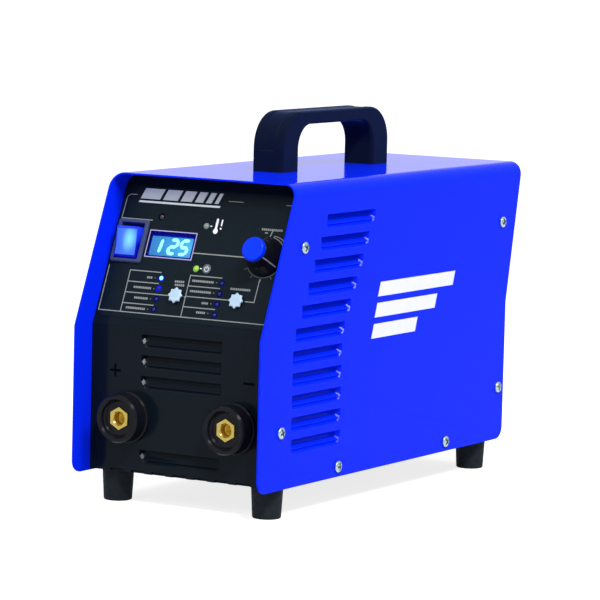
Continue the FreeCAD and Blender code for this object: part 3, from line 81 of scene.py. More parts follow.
# A blade's depth at heights above its lower edge: a narrow fold, a crease, then the long blade.
PRESS_PROFILE = (
    (0, 0), (0.5, 0.25), (1.1, 1.1), (1.7, 2.0), (2.0, 2.2), (2.3, 2.0), (2.9, 1.1), (3.2, 1.2),
    (4, 2.4), (4.8, 3.4), (6, 4.2), (7.2, 4.8), (8.5, 5.3), (9.8, 5.6),
)
PRESS_END_SLOPE = 2.6
PRESS_BLEND = 0.6
# Where the mesh of a louvre has its columns, from each end, and its rows, from the lower edge.
END_STEPS = (0, 0.3, 0.6, 0.9, 1.2, 1.5, 1.8, 2.1, 2.4, 2.8, 3.2, 3.7, 4.3, 5, 6, 7.5)
RISE_STEPS = (
    0, 0.25, 0.5, 0.8, 1.1, 1.4, 1.7, 2, 2.3, 2.6, 2.9, 3.3, 3.7, 4.1, 4.6, 5.1, 5.6, 6.2, 7.2, 8.5, 9.8,
)
# A kind of louvre: the share of the profile's depth, the slopes of the facet at its ends along and up,
# and the height at which that facet meets the rim at the start and at the end.
SIDE_PRESS = (1.0, 1.315, 0.817, 2.2, 4.7)
FRONT_PRESS = (0.66, 0.76, 0.62, 5.9, 2.6)
FRONT_LOUVRES = (97.4, 83.2, 69.0, 18.0)
FRONT_LOUVRE_SHIFT = -0.5

# Marks, notches and openings of the front panel.
MARK_SPREAD = 54
MARK_UP = 71
MARK_REACH = 4.5
MARK_HALF_BAR = 0.9
MARK_DEPTH = 0.5
NOTCH = (11, 1.8)
NOTCH_PITCH = 17
NOTCH_COUNT = 7
FLANGE_DEPTH = 18
FLANGE_SHORT = 12
SOCKET_ACROSS = 43
SOCKET_HOLE = 12
SOCKET_UP = BOTTOM + 39.7

# Places on the leaning panel: across, and up the slope from the knee.
LABEL_THICK = 0.3
LABEL_SPAN = (6, 101)
LABEL_HALF = 72.4
SWITCH = (-58.8, 60.5)
DISPLAY = (-25.7, 60.1)
KNOB = (51.3, 57.0)
BUTTONS = {"mode": (-11.3, 24.4), "function": (37.3, 24.4)}
BEZEL = (25, 31)
SWITCH_BODY = (21.8, 28.6)
SWITCH_WELL = (19.0, 25.8)
DISPLAY_SIZE = (37, 18.2)
BUTTON_STEM = 2.9
KNOB_BUSH = 3.7
LAMPS = {"thermal": (-1.2, 75.6), "supply": (-1.2, 44.9), "dark": (-38.5, 79.7)}
POWER_SYMBOL = (7.5, 45.4)
LAMP_RADIUS = 2.5
LAMP_TIP = 1.5
STATUS_SPOTS = [(across, up) for across in (-26.7, 22.4) for up in (36, 28.5, 21, 13.5)]
STATUS_RADIUS = 1.5
LINE = 0.65
PRINT_LOW, PRINT_THICK = 0.005, 0.04
SWITCH_TILT = 12
DISPLAY_FIELD = (33.4, 13.9)
DISPLAY_SHIFT = (-0.7, -0.75)
# The lit segments of each figure, and how far it stands from the middle of the field.
DIGITS = {"l": -11.2, "abged": 1.6, "afgcd": 10.6}
POINTER_TURN = -32

# Screws, handle, feet and cable gland.
SCREW_HEAD = 4.1
SCREW_HIGH = 2.4
SCREW_INSET = 7.5
SCREW_LEVELS = (BOTTOM + 39, BOTTOM + 162)
TRAY_SCREWS = (FRONT + 104, FRONT + 257)
TRAY_SCREW_UP = BOTTOM + 7.2
HANDLE_LOW, HANDLE_HIGH = box_mm("handle")
HANDLE_LEG = 24
HANDLE_BAR = 9.5
HANDLE_ROUNDS = (25, 17)
HANDLE_EDGE = 3
GRIP_HALF = 6.6
GRIP_SINK = 0.8
GRIP_START = 15.2
FOOT_SPREAD = 60.5
FOOT_PLACES = {"front": FRONT + 36, "rear": REAR - OVERHANG - 22}
REAR_FACE = REAR - OVERHANG - 2
GLAND = (-45, REAR_FACE, BOTTOM + 34)
GLAND_FLATS = 22

# Colours as they look, in sRGB shares.
BLUE = (0.02, 0.16, 1.0)
BLACK = (0.05, 0.085, 0.12)
INK = (0.55, 0.57, 0.57)
BRIGHT_INK = (0.80, 0.84, 0.85)


def linear(colour):
    """The same colour in the linear scale that the shaders use."""
    return tuple(c / 12.92 if c <= 0.04045 else ((c + 0.055) / 1.055) ** 2.4 for c in colour)


def on_panel(across, up, out=0.0):
    """A point of the leaning panel, so far out of its front face."""
    return Vector((
        across,
        FACE + up * math.sin(LEAN) - out * math.cos(LEAN),
        KNEE + up * math.cos(LEAN) + out * math.sin(LEAN),
    ))


def panel_place(across, up, out=0.0):
    """The frame of a piece built on XY, standing on the leaning panel."""
    x, y = Vector((1, 0, 0)), Vector((0, math.sin(LEAN), math.cos(LEAN)))
    turn = Matrix((x, y, x.cross(y))).transposed().to_4x4()
    return Matrix.Translation(on_panel(across, up, out)) @ turn


LABEL_PLACE = panel_place(0, 0, LABEL_THICK)
# Carries a form built on XY to an upright plane, its top face to the front.
UPRIGHT = Matrix(((1, 0, 0, 0), (0, 0, -1, 0), (0, 1, 0, 0), (0, 0, 0, 1)))


def facing(spot, axis):
    """The frame of a piece built along Z, standing on a spot and pointing along an axis."""
    return Matrix.Translation(spot) @ Vector(axis).to_track_quat("Z", "Y").to_matrix().to_4x4()


def rounded(corners, steps=6):
    """A closed outline; a corner with a third number is rounded to that radius."""
    outline = []
    for index, corner in enumerate(corners):
        here = Vector(corner[:2])
        if len(corner) == 2:
            outline.append(here)
            continue
        before = (Vector(corners[index - 1][:2]) - here).normalized()
        after = (Vector(corners[(index + 1) % len(corners)][:2]) - here).normalized()
        half, radius = before.angle(after) / 2, corner[2]
        centre = here + (before + after).normalized() * radius / math.sin(half)
        start = here + before * radius / math.tan(half) - centre
        end = here + after * radius / math.tan(half) - centre
        sweep = start.angle_signed(end)
        for step in range(steps + 1):
            turn = Matrix.Rotation(-sweep * step / steps, 2)
            outline.append(centre + turn @ start)
    return outline


def rectangle(width, height, radius=0.0, middle=(0, 0), steps=6):
    """A centred rectangle, with rounded corners where a radius is given."""
    x, y = width / 2, height / 2
    signs = ((-1, -1), (1, -1), (1, 1), (-1, 1))
    spots = [(middle[0] + a * x, middle[1] + b * y) for a, b in signs]
    return rounded([spot + (radius,) for spot in spots], steps) if radius else [Vector(s) for s in spots]


def arc(middle, radius, start, end, steps=24):
    """Points along an arc between two angles in degrees."""
    turns = [math.radians(start + (end - start) * step / steps) for step in range(steps + 1)]
    return [(middle[0] + radius * math.cos(t), middle[1] + radius * math.sin(t)) for t in turns]


def circle(radius, steps=64, middle=(0, 0), start=0.0):
    """A closed ring of points; six of them make a hexagon."""
    return arc(middle, radius, start, start + 360, steps)[:-1]


def bridge(bm, one, two, closed=True):
    """Faces between two rows of vertices; a row may be a single vertex."""
    count = max(len(one), len(two))
    for index in range(count if closed else count - 1):
        after = (index + 1) % count
        if len(one) == 1:
            bm.faces.new((one[0], two[after], two[index]))
        elif len(two) == 1:
            bm.faces.new((one[index], one[after], two[0]))
        else:
            bm.faces.new((one[index], one[after], two[after], two[index]))


def joined(bm, rows, closed=True, capped=False):
    """Faces between each row of vertices and the next, and over both ends if capped; returns the rows."""
    for one, two in zip(rows, rows[1:]):
        bridge(bm, one, two, closed)
    if capped:
        for row in (rows[0], rows[-1]):
            bm.faces.new(row)
    return rows


def fill(bm, *loops):
    """Flat faces between an outline and the holes in it."""
    edges = []
    for loop in loops:
        for one, two in zip(loop, loop[1:] + loop[:1]):
            edges.append(bm.edges.get((one, two)) or bm.edges.new((one, two)))
    made = bmesh.ops.triangle_fill(bm, use_beauty=True, use_dissolve=False, edges=edges)
    for face in made["geom"]:
        if isinstance(face, bmesh.types.BMFace):
            face.smooth = False


def loop_at(bm, outline, plane, depth=0.0):
    """Vertices of an outline carried to a plane."""
    return [bm.verts.new(plane(point[0], point[1], depth)) for point in outline]


def turned(bm, corners, steps=96):
    """Rings of a form turned round Z, from (radius, height) corners; returns them all."""
    rings = []
    for radius, height in rounded(corners, 5):
        if radius < 1e-6:
            rings.append([bm.verts.new((0, 0, height))])
        else:
            rings.append([bm.verts.new((x, y, height)) for x, y in circle(radius, steps)])
    return joined(bm, rings)


def lathe(corners, steps=96):
    bm = bmesh.new()
    turned(bm, corners, steps)
    return bm


def flat(x, y, depth):
    return (x, y, depth)


def stacked(bm, layers, capped=False):
    """Walls between outlines at heights, each layer an outline and a height; returns the loops."""
    return joined(bm, [loop_at(bm, outline, flat, height) for outline, height in layers], capped=capped)


def mesh_of(bm, name="form"):
    """The mesh of a form, which is used up."""
    mesh = bpy.data.meshes.new(name)
    bm.to_mesh(mesh)
    bm.free()
    return mesh


def placed(name, data, place=Matrix()):
    """A new object in the scene."""
    thing = bpy.data.objects.new(name, data)
    bpy.context.scene.collection.objects.link(thing)
    thing.matrix_world = place
    return thing


def having(thing, **settings):
    """A thing with some of its settings changed."""
    for word, value in settings.items():
        setattr(thing, word, value)
    return thing


def moved(bm, place):
    bmesh.ops.transform(bm, matrix=place, verts=bm.verts)
    return bm


def gathered(forms):
    """One mesh that holds several forms."""
    whole = bmesh.new()
    for form in forms:
        mesh = mesh_of(form)
        whole.from_mesh(mesh)
        bpy.data.meshes.remove(mesh)
    return whole


def slab(bm, outline, low, high, top_scale=1.0):
    """A closed solid between two heights over an outline."""
    wide = [(point[0] * top_scale, point[1] * top_scale) for point in outline]
    stacked(bm, [(outline, low), (wide, high)], capped=True)


def block(*sizes):
    """A form that is one slab."""
    bm = bmesh.new()
    slab(bm, *sizes)
    return bm


def apply_modifiers(thing):
    """Bake the modifiers of an object into its mesh."""
    bpy.context.view_layer.update()
    graph = bpy.context.evaluated_depsgraph_get()
    final = thing.evaluated_get(graph)
    mesh = bpy.data.meshes.new_from_object(final, preserve_all_data_layers=True, depsgraph=graph)
    mesh.name = thing.name
    thing.modifiers.clear()
    old, thing.data = thing.data, mesh
    bpy.data.meshes.remove(old)


def carved(bm, tool):
    """A form with a closed tool cut out of it."""
    things = []
    for form in (bm, tool):
        bmesh.ops.recalc_face_normals(form, faces=form.faces)
        things.append(placed("form", mesh_of(form)))
    cut = things[0].modifiers.new("cut", "BOOLEAN")
    having(cut, operation="DIFFERENCE", solver="EXACT", object=things[1])
    apply_modifiers(things[0])
    left = bmesh.new()
    left.from_mesh(things[0].data)
    for thing in things:
        mesh = thing.data
        bpy.data.objects.remove(thing)
        bpy.data.meshes.remove(mesh)
    return left


def piece(name, bm, material, body="case", place=Matrix(), thick=0.0, bevel=0.0, segments=2, mirror=False,
          stands_for=(), crease=35):
    """Make an object of a form in millimetres, round its edges, and let it ride on its body.
    """
    bmesh.ops.remove_doubles(bm, verts=bm.verts, dist=0.0001)
    bmesh.ops.recalc_face_normals(bm, faces=bm.faces)
    mesh = mesh_of(bm, name)
    mesh.transform(place)
    thing = placed(name, mesh)
    if mirror:
        having(thing.modifiers.new("mirror", "MIRROR"), merge_threshold=0.01)
    if thick:
        having(thing.modifiers.new("wall", "SOLIDIFY"), thickness=thick, offset=-1, use_even_offset=True,
               bevel_convex=1.0 if bevel else 0.0)
    if bevel:
        having(thing.modifiers.new("edge", "BEVEL"), width=bevel, segments=segments, use_clamp_overlap=True,
               limit_method="WEIGHT" if thick else "ANGLE", angle_limit=math.radians(crease))
    apply_modifiers(thing)
    for face in thing.data.polygons:
        face.use_smooth = True
    thing.data.set_sharp_from_angle(angle=math.radians(crease))
    having(thing.modifiers.new("even", "WEIGHTED_NORMAL"), keep_sharp=True, weight=100)
    apply_modifiers(thing)
    thing.data.transform(Matrix.Scale(MM, 4))
    thing.data.materials.clear()
    thing.data.materials.append(MATERIALS[material])
    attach(thing, body)
    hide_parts(*stands_for)


# Materials. Each starts from a principled shader; noise in the object's own space varies it.
# Most of a noise's values lie between these two.
NOISE_LOW, NOISE_HIGH = 0.3, 0.7


class Tree:
    """The nodes of a material or of the world, and a short way to add to them."""

    def __init__(self, owner):
        owner.use_nodes = True
        self.nodes = owner.node_tree.nodes
        self.links = owner.node_tree.links

    def feed(self, node, inputs):
        """Set inputs of a node; a value that is the output of another node is linked."""
        for socket, value in inputs.items():
            if isinstance(value, bpy.types.NodeSocket):
                self.links.new(value, node.inputs[socket])
            else:
                node.inputs[socket].default_value = value

    def add(self, kind, inputs, **settings):
        """A new node with its settings and its inputs; returns its outputs."""
        node = having(self.nodes.new("ShaderNode" + kind), **settings)
        self.feed(node, inputs)
        return node.outputs


class Shader(Tree):
    """A material with a principled shader, and ways to vary it."""

    def __init__(self, name, colour, roughness, metallic=0.0, specular=0.5):
        self.material = bpy.data.materials.new(name)
        super().__init__(self.material)
        self.surface = self.nodes["Principled BSDF"]
        self.colour = linear(colour)
        self.set({
            "Base Color": self.colour + (1,),
            "Roughness": roughness,
            "Metallic": metallic,
            "Specular IOR Level": specular,
        })
        self.place = self.add("TexCoord", {})["Object"]

    def set(self, inputs):
        self.feed(self.surface, inputs)

    def noise(self, size, detail=3.0, stretch=(1, 1, 1)):
        """Noise whose lumps are about size millimetres across."""
        scale = [share / (size * MM) for share in stretch]
        scaled = self.add("Mapping", {"Scale": scale, "Vector": self.place})["Vector"]
        return self.add("TexNoise", {"Scale": 1.0, "Detail": detail, "Vector": scaled})["Fac"]

    def ramp(self, source, stops, socket):
        """Colour a socket by a value through stops, each a place and a colour in the linear scale."""
        node = self.nodes.new("ShaderNodeValToRGB")
        elements = node.color_ramp.elements
        while len(elements) < len(stops):
            elements.new(0.5)
        for element, (place, colour) in zip(elements, stops):
            having(element, position=place, color=tuple(colour) + (1,))
        self.feed(node, {"Fac": source})
        self.set({socket: node.outputs["Color"]})

    def between(self, source, low, high, socket):
        """Let noise move a socket between two numbers."""
        ends = {"From Min": NOISE_LOW, "From Max": NOISE_HIGH, "To Min": low, "To Max": high}
        self.set({socket: self.add("MapRange", {"Value": source, **ends})["Result"]})

    def mottle(self, size, amount, detail=3.0):
        """Vary the colour a little, in lumps of a size in millimetres."""
        dark = [c * (1 - amount) for c in self.colour]
        light = [min(1.0, c * (1 + amount)) for c in self.colour]
        self.ramp(self.noise(size, detail), [(NOISE_LOW, dark), (NOISE_HIGH, light)], "Base Color")

    def relief(self, source, height, strength=1.0):
        """Bumps of a height in millimetres."""
        bumps = self.add("Bump", {"Strength": strength, "Distance": height * MM, "Height": source})
        self.set({"Normal": bumps["Normal"]})


def enamel(name, colour, specular, roughness):
    """Baked powder coat: even gloss with a very fine orange peel."""
    paint = Shader(name, colour, roughness, specular=specular)
    paint.mottle(60, 0.03)
    paint.between(paint.noise(18, 2), roughness * 0.9, roughness * 1.1, "Roughness")
    paint.relief(paint.noise(1.3, 2), 0.004, 0.35)
    return paint.material


def moulded(name, colour, roughness, specular, grain, height):
    """Moulded plastic or rubber with a fine spark-eroded grain."""
    skin = Shader(name, colour, roughness, specular=specular)
    skin.mottle(7, 0.08)
    skin.between(skin.noise(2.5), roughness * 0.85, roughness * 1.2, "Roughness")
    skin.relief(skin.noise(grain, 4), height)
    return skin.material


def printed(name, colour):
    """Printing ink, almost even."""
    ink = Shader(name, colour, 0.4, specular=0.1)
    ink.mottle(11, 0.025)
    ink.relief(ink.noise(0.4, 4), 0.001)
    return ink.material


def satin(name, colour, roughness):
    """Moulded nylon with a bluish sheen where it is seen at a low angle."""
    skin = Shader(name, colour, roughness, specular=0.001)
    skin.set({"Sheen Weight": 0.25, "Sheen Roughness": 0.4, "Sheen Tint": linear((0.42, 0.58, 1.0)) + (1,)})
    skin.mottle(7, 0.06)
    skin.relief(skin.noise(0.4, 4), 0.003)
    return skin.material


def metal(name, colour, roughness, mottle, grain, stretch=(1, 1, 1)):
    """Bare or plated metal with a cloudy finish and fine tool marks."""
    bare = Shader(name, colour, roughness, metallic=1.0)
    bare.mottle(*mottle, 4)
    bare.between(bare.noise(1.2), roughness * 0.7, roughness * 1.3, "Roughness")
    bare.relief(bare.noise(grain[0], 2, stretch), grain[1])
    return bare.material


def lit(name, colour, glow, strength, roughness=0.25, specular=0.3):
    """A tinted clear plastic with a light behind it."""
    lens = Shader(name, colour, roughness, specular=specular)
    lens.between(lens.noise(1.5), roughness * 0.9, roughness * 1.1, "Roughness")
    lens.set({"Emission Color": linear(glow) + (1,), "Emission Strength": strength})
    return lens.material


def glowing(name, colour, spot, reach, stops, specular=0.1):
    """A translucent plastic lit from a spot behind it, with the glow falling off in steps of colour."""
    lens = Shader(name, colour, 0.3, specular=specular)
    shift = [-place / size for place, size in zip(spot, reach)]
    scale = [1 / (size * MM) for size in reach]
    near = lens.add("Mapping", {"Location": shift, "Scale": scale, "Vector": lens.place})
    ball = lens.add("TexGradient", {"Vector": near["Vector"]}, gradient_type="SPHERICAL")
    lumps = lens.noise(6, 1, (1, 0.3, 0.3))
    cloudy = lens.add("Math", {0: lumps, 1: 0.3, 2: ball["Fac"]}, operation="MULTIPLY_ADD")
    lens.ramp(cloudy[0], [(place, linear(shade)) for place, shade in stops], "Emission Color")
    lens.set({"Emission Strength": 1.0})
    return lens.material


def clear_pane(name, tint):
    """Clear tinted plastic in front of the display."""
    pane = Shader(name, tint, 0.02, specular=0.5)
    pane.set({"Transmission Weight": 1.0, "IOR": 1.05})
    pane.mottle(8, 0.02)
    return pane.material


# How the light behind the rocker's face, its sides and the display's field falls off, from far to near.
FACE_GLOW = [
    (0.15, (0.25, 0.42, 0.9)), (0.45, (0.3, 0.5, 0.92)),
    (0.75, (0.45, 0.75, 0.93)), (1.0, (0.53, 0.9, 0.97)),
]
KEY_GLOW = [(0.15, (0.0, 0.0, 0.5)), (0.4, (0.08, 0.2, 0.85)), (0.7, (0.15, 0.3, 0.95))]
FIELD_GLOW = [(0.15, (0.22, 0.5, 0.75)), (0.6, (0.25, 0.6, 0.84)), (1.1, (0.32, 0.72, 0.92))]
FACE_LIGHT = on_panel(SWITCH[0] + 2.6, SWITCH[1] - 0.3, 7)
KEY_LIGHT = on_panel(SWITCH[0], SWITCH[1] + 5, 8)
FIELD_LIGHT = on_panel(DISPLAY[0] + 12, DISPLAY[1], 0)
# Each finish is a kind of material and what that kind asks for after its name.
FINISHES = {
    "blue_enamel": (enamel, BLUE, 0.02, 0.11),
    "black_enamel": (enamel, BLACK, 0.06, 0.15),
    "zinc_sheet": (metal, (0.72, 0.73, 0.74), 0.38, (9, 0.10), (0.6, 0.004)),
    "black_moulding": (moulded, (0.07, 0.075, 0.10), 0.2, 0.1, 0.4, 0.002),
    "handle_black": (satin, (0.06, 0.085, 0.15), 0.3),
    "foot_rubber": (moulded, (0.10, 0.125, 0.15), 0.7, 0.12, 0.9, 0.02),
    "zinc_screw": (metal, (0.64, 0.72, 0.73), 0.26, (1.3, 0.12), (0.2, 0.002)),
    "brass": (metal, (0.66, 0.58, 0.31), 0.2, (2.2, 0.08), (0.3, 0.002)),
    "brass_bore": (metal, (0.76, 0.65, 0.26), 0.5, (2.2, 0.08), (0.3, 0.002)),
    "label_film": (moulded, (0.05, 0.095, 0.125), 0.35, 0.06, 0.25, 0.001),
    "rocker_blue": (glowing, (0.03, 0.05, 0.5), KEY_LIGHT, (14, 14, 14), KEY_GLOW),
    "knob_blue": (moulded, (0.0, 0.2, 0.97), 0.12, 0.1, 0.35, 0.001),
    "display_blue": (clear_pane, (0.97, 0.98, 1.0)),
    "display_body": (lit, (0.02, 0.03, 0.4), (0.0, 0.02, 0.5), 0.5, 0.6, 0.02),
    "display_field": (glowing, (0.1, 0.2, 0.3), FIELD_LIGHT, (30, 14, 14), FIELD_GLOW, 0.02),
    "rocker_face": (glowing, (0.08, 0.15, 0.5), FACE_LIGHT, (9, 12, 14), FACE_GLOW),
    "bezel_grey": (moulded, (0.24, 0.28, 0.42), 0.25, 0.1, 0.4, 0.002),
    # Painted glow: discs on the label round the status lamps give off light, standing for the lamps' light
    # falling on the label.
    "halo_bright": (lit, (0.0, 0.02, 0.5), (0.02, 0.08, 0.85), 1.0, 0.4, 0.02),
    "halo_dark": (lit, (0.0, 0.01, 0.25), (0.0, 0.01, 0.3), 0.6, 0.4, 0.02),
    # Near-black matte, also used for the painted shade in the floors of the stamped marks.
    "deep_black": (moulded, (0.01, 0.012, 0.015), 0.6, 0.02, 0.4, 0.001),
    "display_digit": (lit, (0.5, 0.9, 0.95), (0.58, 1.0, 1.0), 0.95, 0.5, 0.02),
    "button_grey": (moulded, (0.70, 0.80, 0.88), 0.4, 0.3, 0.3, 0.003),
    "lamp_green": (lit, (0.5, 0.68, 0.25), (0.5, 0.68, 0.25), 0.5),
    "lamp_amber": (lit, (0.50, 0.56, 0.53), (0.3, 0.33, 0.32), 0.1),
    "lamp_cyan": (lit, (0.4, 0.7, 1.0), (0.6, 0.93, 1.0), 1.3),
    "lamp_dark_blue": (lit, (0.04, 0.07, 0.35), (0.04, 0.09, 0.45), 0.2),
    "lamp_off": (moulded, (0.05, 0.055, 0.06), 0.1, 0.5, 0.5, 0.001),
    "board_green": (moulded, (0.05, 0.28, 0.15), 0.35, 0.5, 0.6, 0.004),
    "nylon_white": (moulded, (0.85, 0.85, 0.80), 0.5, 0.4, 0.5, 0.004),
    "aluminium": (metal, (0.78, 0.79, 0.80), 0.33, (3, 0.08), (0.3, 0.004), (1, 12, 12)),
    "ferrite": (moulded, (0.16, 0.16, 0.17), 0.6, 0.3, 0.8, 0.01),
    "copper_wire": (metal, (0.80, 0.42, 0.24), 0.35, (2, 0.15), (0.5, 0.01)),
    "device_epoxy": (moulded, (0.07, 0.07, 0.08), 0.55, 0.35, 0.4, 0.004),
    "capacitor_sleeve": (moulded, (0.05, 0.07, 0.20), 0.3, 0.5, 0.6, 0.003),
    "lead_sheath": (moulded, (0.08, 0.08, 0.08), 0.55, 0.35, 0.6, 0.01),
    "white_ink": (printed, (0.93, 0.94, 0.96)),
    "bright_ink": (printed, BRIGHT_INK),
    "label_ink": (printed, INK),
    "violet_ink": (printed, (0.66, 0.64, 0.84)),
    "dim_ink": (printed, (0.36, 0.39, 0.42)),
}
MATERIALS = {name: kind(name, *values) for name, (kind, *values) in FINISHES.items()}


def dress_nodes():
    """Give every carried-over node the finish of its slot."""
    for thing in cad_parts.values():
        slot = thing.data.materials[0].name
        thing.data.materials.clear()
        thing.data.materials.append(MATERIALS[slot.split(".")[0]])


def press_depth(along, up, form, rim):
    """How deep a louvre is pressed in, at a distance from its nearer end and a height."""
    blade = 0.0
    for (z0, d0), (z1, d1) in zip(PRESS_PROFILE, PRESS_PROFILE[1:]):
        if z0 <= up <= z1:
            blade = d0 + (d1 - d0) * (up - z0) / (z1 - z0)
    share, slope_along, slope_up = form[:3]
    depth = blade * share
    for wall in (along * PRESS_END_SLOPE, along * slope_along + (up - rim) * slope_up):
        gap = max(0.0, PRESS_BLEND - abs(depth - wall))
        depth = min(depth, wall) - gap * gap / (4 * PRESS_BLEND)
    return max(0.0, depth)


def press_louvre(bm, plane, start, low, form):
    """A louvre cut along its upper edge and pressed in, with sloping ends; returns its rim."""
    along = [*END_STEPS, LOUVRE_LENGTH / 2, *(LOUVRE_LENGTH - step for step in reversed(END_STEPS))]
    rows = []
    for up in RISE_STEPS:
        row = []
        for step in along:
            rim = form[3] if step < LOUVRE_LENGTH / 2 else form[4]
            depth = press_depth(min(step, LOUVRE_LENGTH - step), up, form, rim)
            row.append(bm.verts.new(plane(start + step, low + up, depth)))
        rows.append(row)
    joined(bm, rows, closed=False)
    return rows[0] + [row[-1] for row in rows[1:]] + [row[0] for row in rows[:0:-1]]


def edge_span(z):
    """Where the sides of the cover start and end at a height."""
    above = max(0.0, z - KNEE) / (TOP - KNEE)
    return FRONT + SETBACK * above, REAR - OVERHANG * (1 - above)


def make_cover():
    """Half of the bent sheet, then its mirror image, its thickness and its rounded edges."""
    bm = bmesh.new()

    def side(y, z, depth):
        return (HALF - depth, y, z)

    bend_start = TOP - BEND
    front, rear = edge_span(bend_start)
    low_rear = REAR - OVERHANG
    outline = rounded([
        (front, bend_start),
        (FRONT, KNEE, KNEE_ROUND),
        (FRONT, BOTTOM, CORNER_ROUND),
        (low_rear, BOTTOM, CORNER_ROUND),
        (low_rear, KNEE, KNEE_ROUND),
        (rear, bend_start),
    ], 8)
    loops = [loop_at(bm, outline, side)]
    for index in range(LOUVRE_COUNT):
        top = LOUVRE_TOP - index * LOUVRE_PITCH
        above = max(0.0, top + BOTTOM - KNEE) / (LOUVRE_TOP + BOTTOM - KNEE)
        start = FRONT + LOUVRE_INSET + LOUVRE_LEAN * above
        loops.append(press_louvre(bm, side, start, BOTTOM + top - LOUVRE_HEIGHT, SIDE_PRESS))
    fill(bm, *loops)
    row = [loops[0][0], loops[0][-1]]
    for x, z in arc((HALF - BEND, bend_start), BEND, 0, 90, 12)[1:] + [(0, TOP)]:
        ahead = [bm.verts.new((x, y, z)) for y in edge_span(z)]
        bridge(bm, row, ahead, closed=False)
        row = ahead
    piece("cover_sheet", bm, "blue_enamel", thick=SHEET, bevel=0.3, mirror=True,
          stands_for=["cover"])


def sunk_mark(name, bm, plane, corners, middle):
    """A stamped mark with a steep wall and a flat floor, which gets a near-black slab of painted shade;
    returns its rim.
    """
    wall = 0.2
    rim = [Vector(middle) + Vector(c) for c in corners]
    floor = [spot - Vector([math.copysign(wall, share) for share in c]) for spot, c in zip(rim, corners)]
    rows = [loop_at(bm, rim, plane), loop_at(bm, floor, plane, MARK_DEPTH)]
    bridge(bm, *rows)
    fill(bm, rows[1])
    place = Matrix.Translation((0, FACE + MARK_DEPTH, 0)) @ UPRIGHT
    # A near-black slab on the floor: painted shade in the stamped recess.
    piece(name, block(floor, -0.05, 0.1), "deep_black", place=place)
    return rows[0]


def make_front_panel():
    """The bent black panel: an upright lower part with louvres and marks, and a leaning upper part."""
    bm = bmesh.new()
    half, low = PANEL_HIGH.x, PANEL_LOW.z

    def upright(x, z, depth):
        return (x, FACE + depth, z)

    def leaning(x, up, depth):
        return on_panel(x, up, -depth)

    reach = PANEL_BEND * math.tan(LEAN / 2)
    corners = [(half, KNEE - reach), (-half, KNEE - reach), (-half, low)]
    for index in range(NOTCH_COUNT):
        middle = (index - (NOTCH_COUNT - 1) / 2) * NOTCH_PITCH
        left, right = middle - NOTCH[0] / 2, middle + NOTCH[0] / 2
        corners += [(left, low), (left, low + NOTCH[1]), (right, low + NOTCH[1]), (right, low)]
    corners.append((half, low))
    outline = loop_at(bm, corners, upright)
    loops = [outline]
    for top in FRONT_LOUVRES:
        start = FRONT_LOUVRE_SHIFT - LOUVRE_LENGTH / 2
        loops.append(press_louvre(bm, upright, start, BOTTOM + top - LOUVRE_HEIGHT, FRONT_PRESS))
    for sign in (-1, 1):
        loops.append(loop_at(bm, circle(SOCKET_HOLE, 48, (sign * SOCKET_ACROSS, SOCKET_UP)), upright))
    plus = cross(MARK_REACH, MARK_HALF_BAR)
    minus = rectangle(2 * MARK_REACH, 2 * MARK_HALF_BAR)
    # Each stamped mark gets a near-black slab on its floor as painted shade.
    for name, shape, sign in (("plus_painted_shade", plus, -1), ("minus_painted_shade", minus, 1)):
        loops.append(sunk_mark(name, bm, upright, shape, (sign * MARK_SPREAD, BOTTOM + MARK_UP)))
    fill(bm, *loops)
    row = outline[:2]
    bend = arc((FACE + PANEL_BEND, KNEE - reach), PANEL_BEND, 180, 180 - math.degrees(LEAN), 5)
    for y, z in bend[1:]:
        ahead = [bm.verts.new((x, y, z)) for x in (half, -half)]
        bridge(bm, row, ahead, closed=False)
        row = ahead
    high, corner = SLOPE_LENGTH, PANEL_CORNER
    upper = rounded([(half, reach), (half, high, corner), (-half, high, corner), (-half, reach)], 8)
    inner = loop_at(bm, upper[1:-1], leaning)
    holes = [loop_at(bm, hole, leaning) for hole in label_openings()]
    fill(bm, [row[0]] + inner + [row[1]], *holes)
    piece("front_panel_sheet", bm, "black_enamel", thick=SHEET, bevel=0.2,
          stands_for=["front_panel"])

    flange = bmesh.new()
    side = [(FACE + SHEET, low), (FACE + FLANGE_DEPTH, low), (FACE + FLANGE_DEPTH, KNEE - reach)]
    for up, depth in ((high - FLANGE_SHORT, FLANGE_DEPTH), (high - FLANGE_SHORT, SHEET), (reach, SHEET)):
        side.append(on_panel(0, up, -depth).yz)
    for start in (-half, half - SHEET):
        walls = [[flange.verts.new((x, y, z)) for y, z in side] for x in (start, start + SHEET)]
        joined(flange, walls, capped=True)
    piece("front_panel_flanges", flange, "black_enamel", bevel=0.15)


def make_label():
    """The printed film on the leaning panel, with its openings."""
    bm = bmesh.new()

    def leaning(x, up, depth):
        return on_panel(x, up, LABEL_THICK - depth)

    low, high = LABEL_SPAN
    outline = rectangle(2 * LABEL_HALF, high - low, 6, (0, (low + high) / 2))
    fill(bm, *(loop_at(bm, loop, leaning) for loop in [outline] + label_openings()))
    piece("printed_label", bm, "label_film", thick=LABEL_THICK, stands_for=["control_label"])


def label_openings():
    """Outlines of what the label and the leaning panel are cut out for."""
    holes = [rectangle(*SWITCH_BODY, middle=SWITCH), rectangle(*DISPLAY_SIZE, middle=DISPLAY)]
    holes.append(circle(KNOB_BUSH, 32, KNOB))
    holes += [circle(BUTTON_STEM + 0.2, 32, spot) for spot in BUTTONS.values()]
    holes += [circle(LAMP_RADIUS + 0.1, 32, spot) for spot in LAMPS.values()]
    return holes + [circle(STATUS_RADIUS + 0.1, 24, spot) for spot in STATUS_SPOTS]


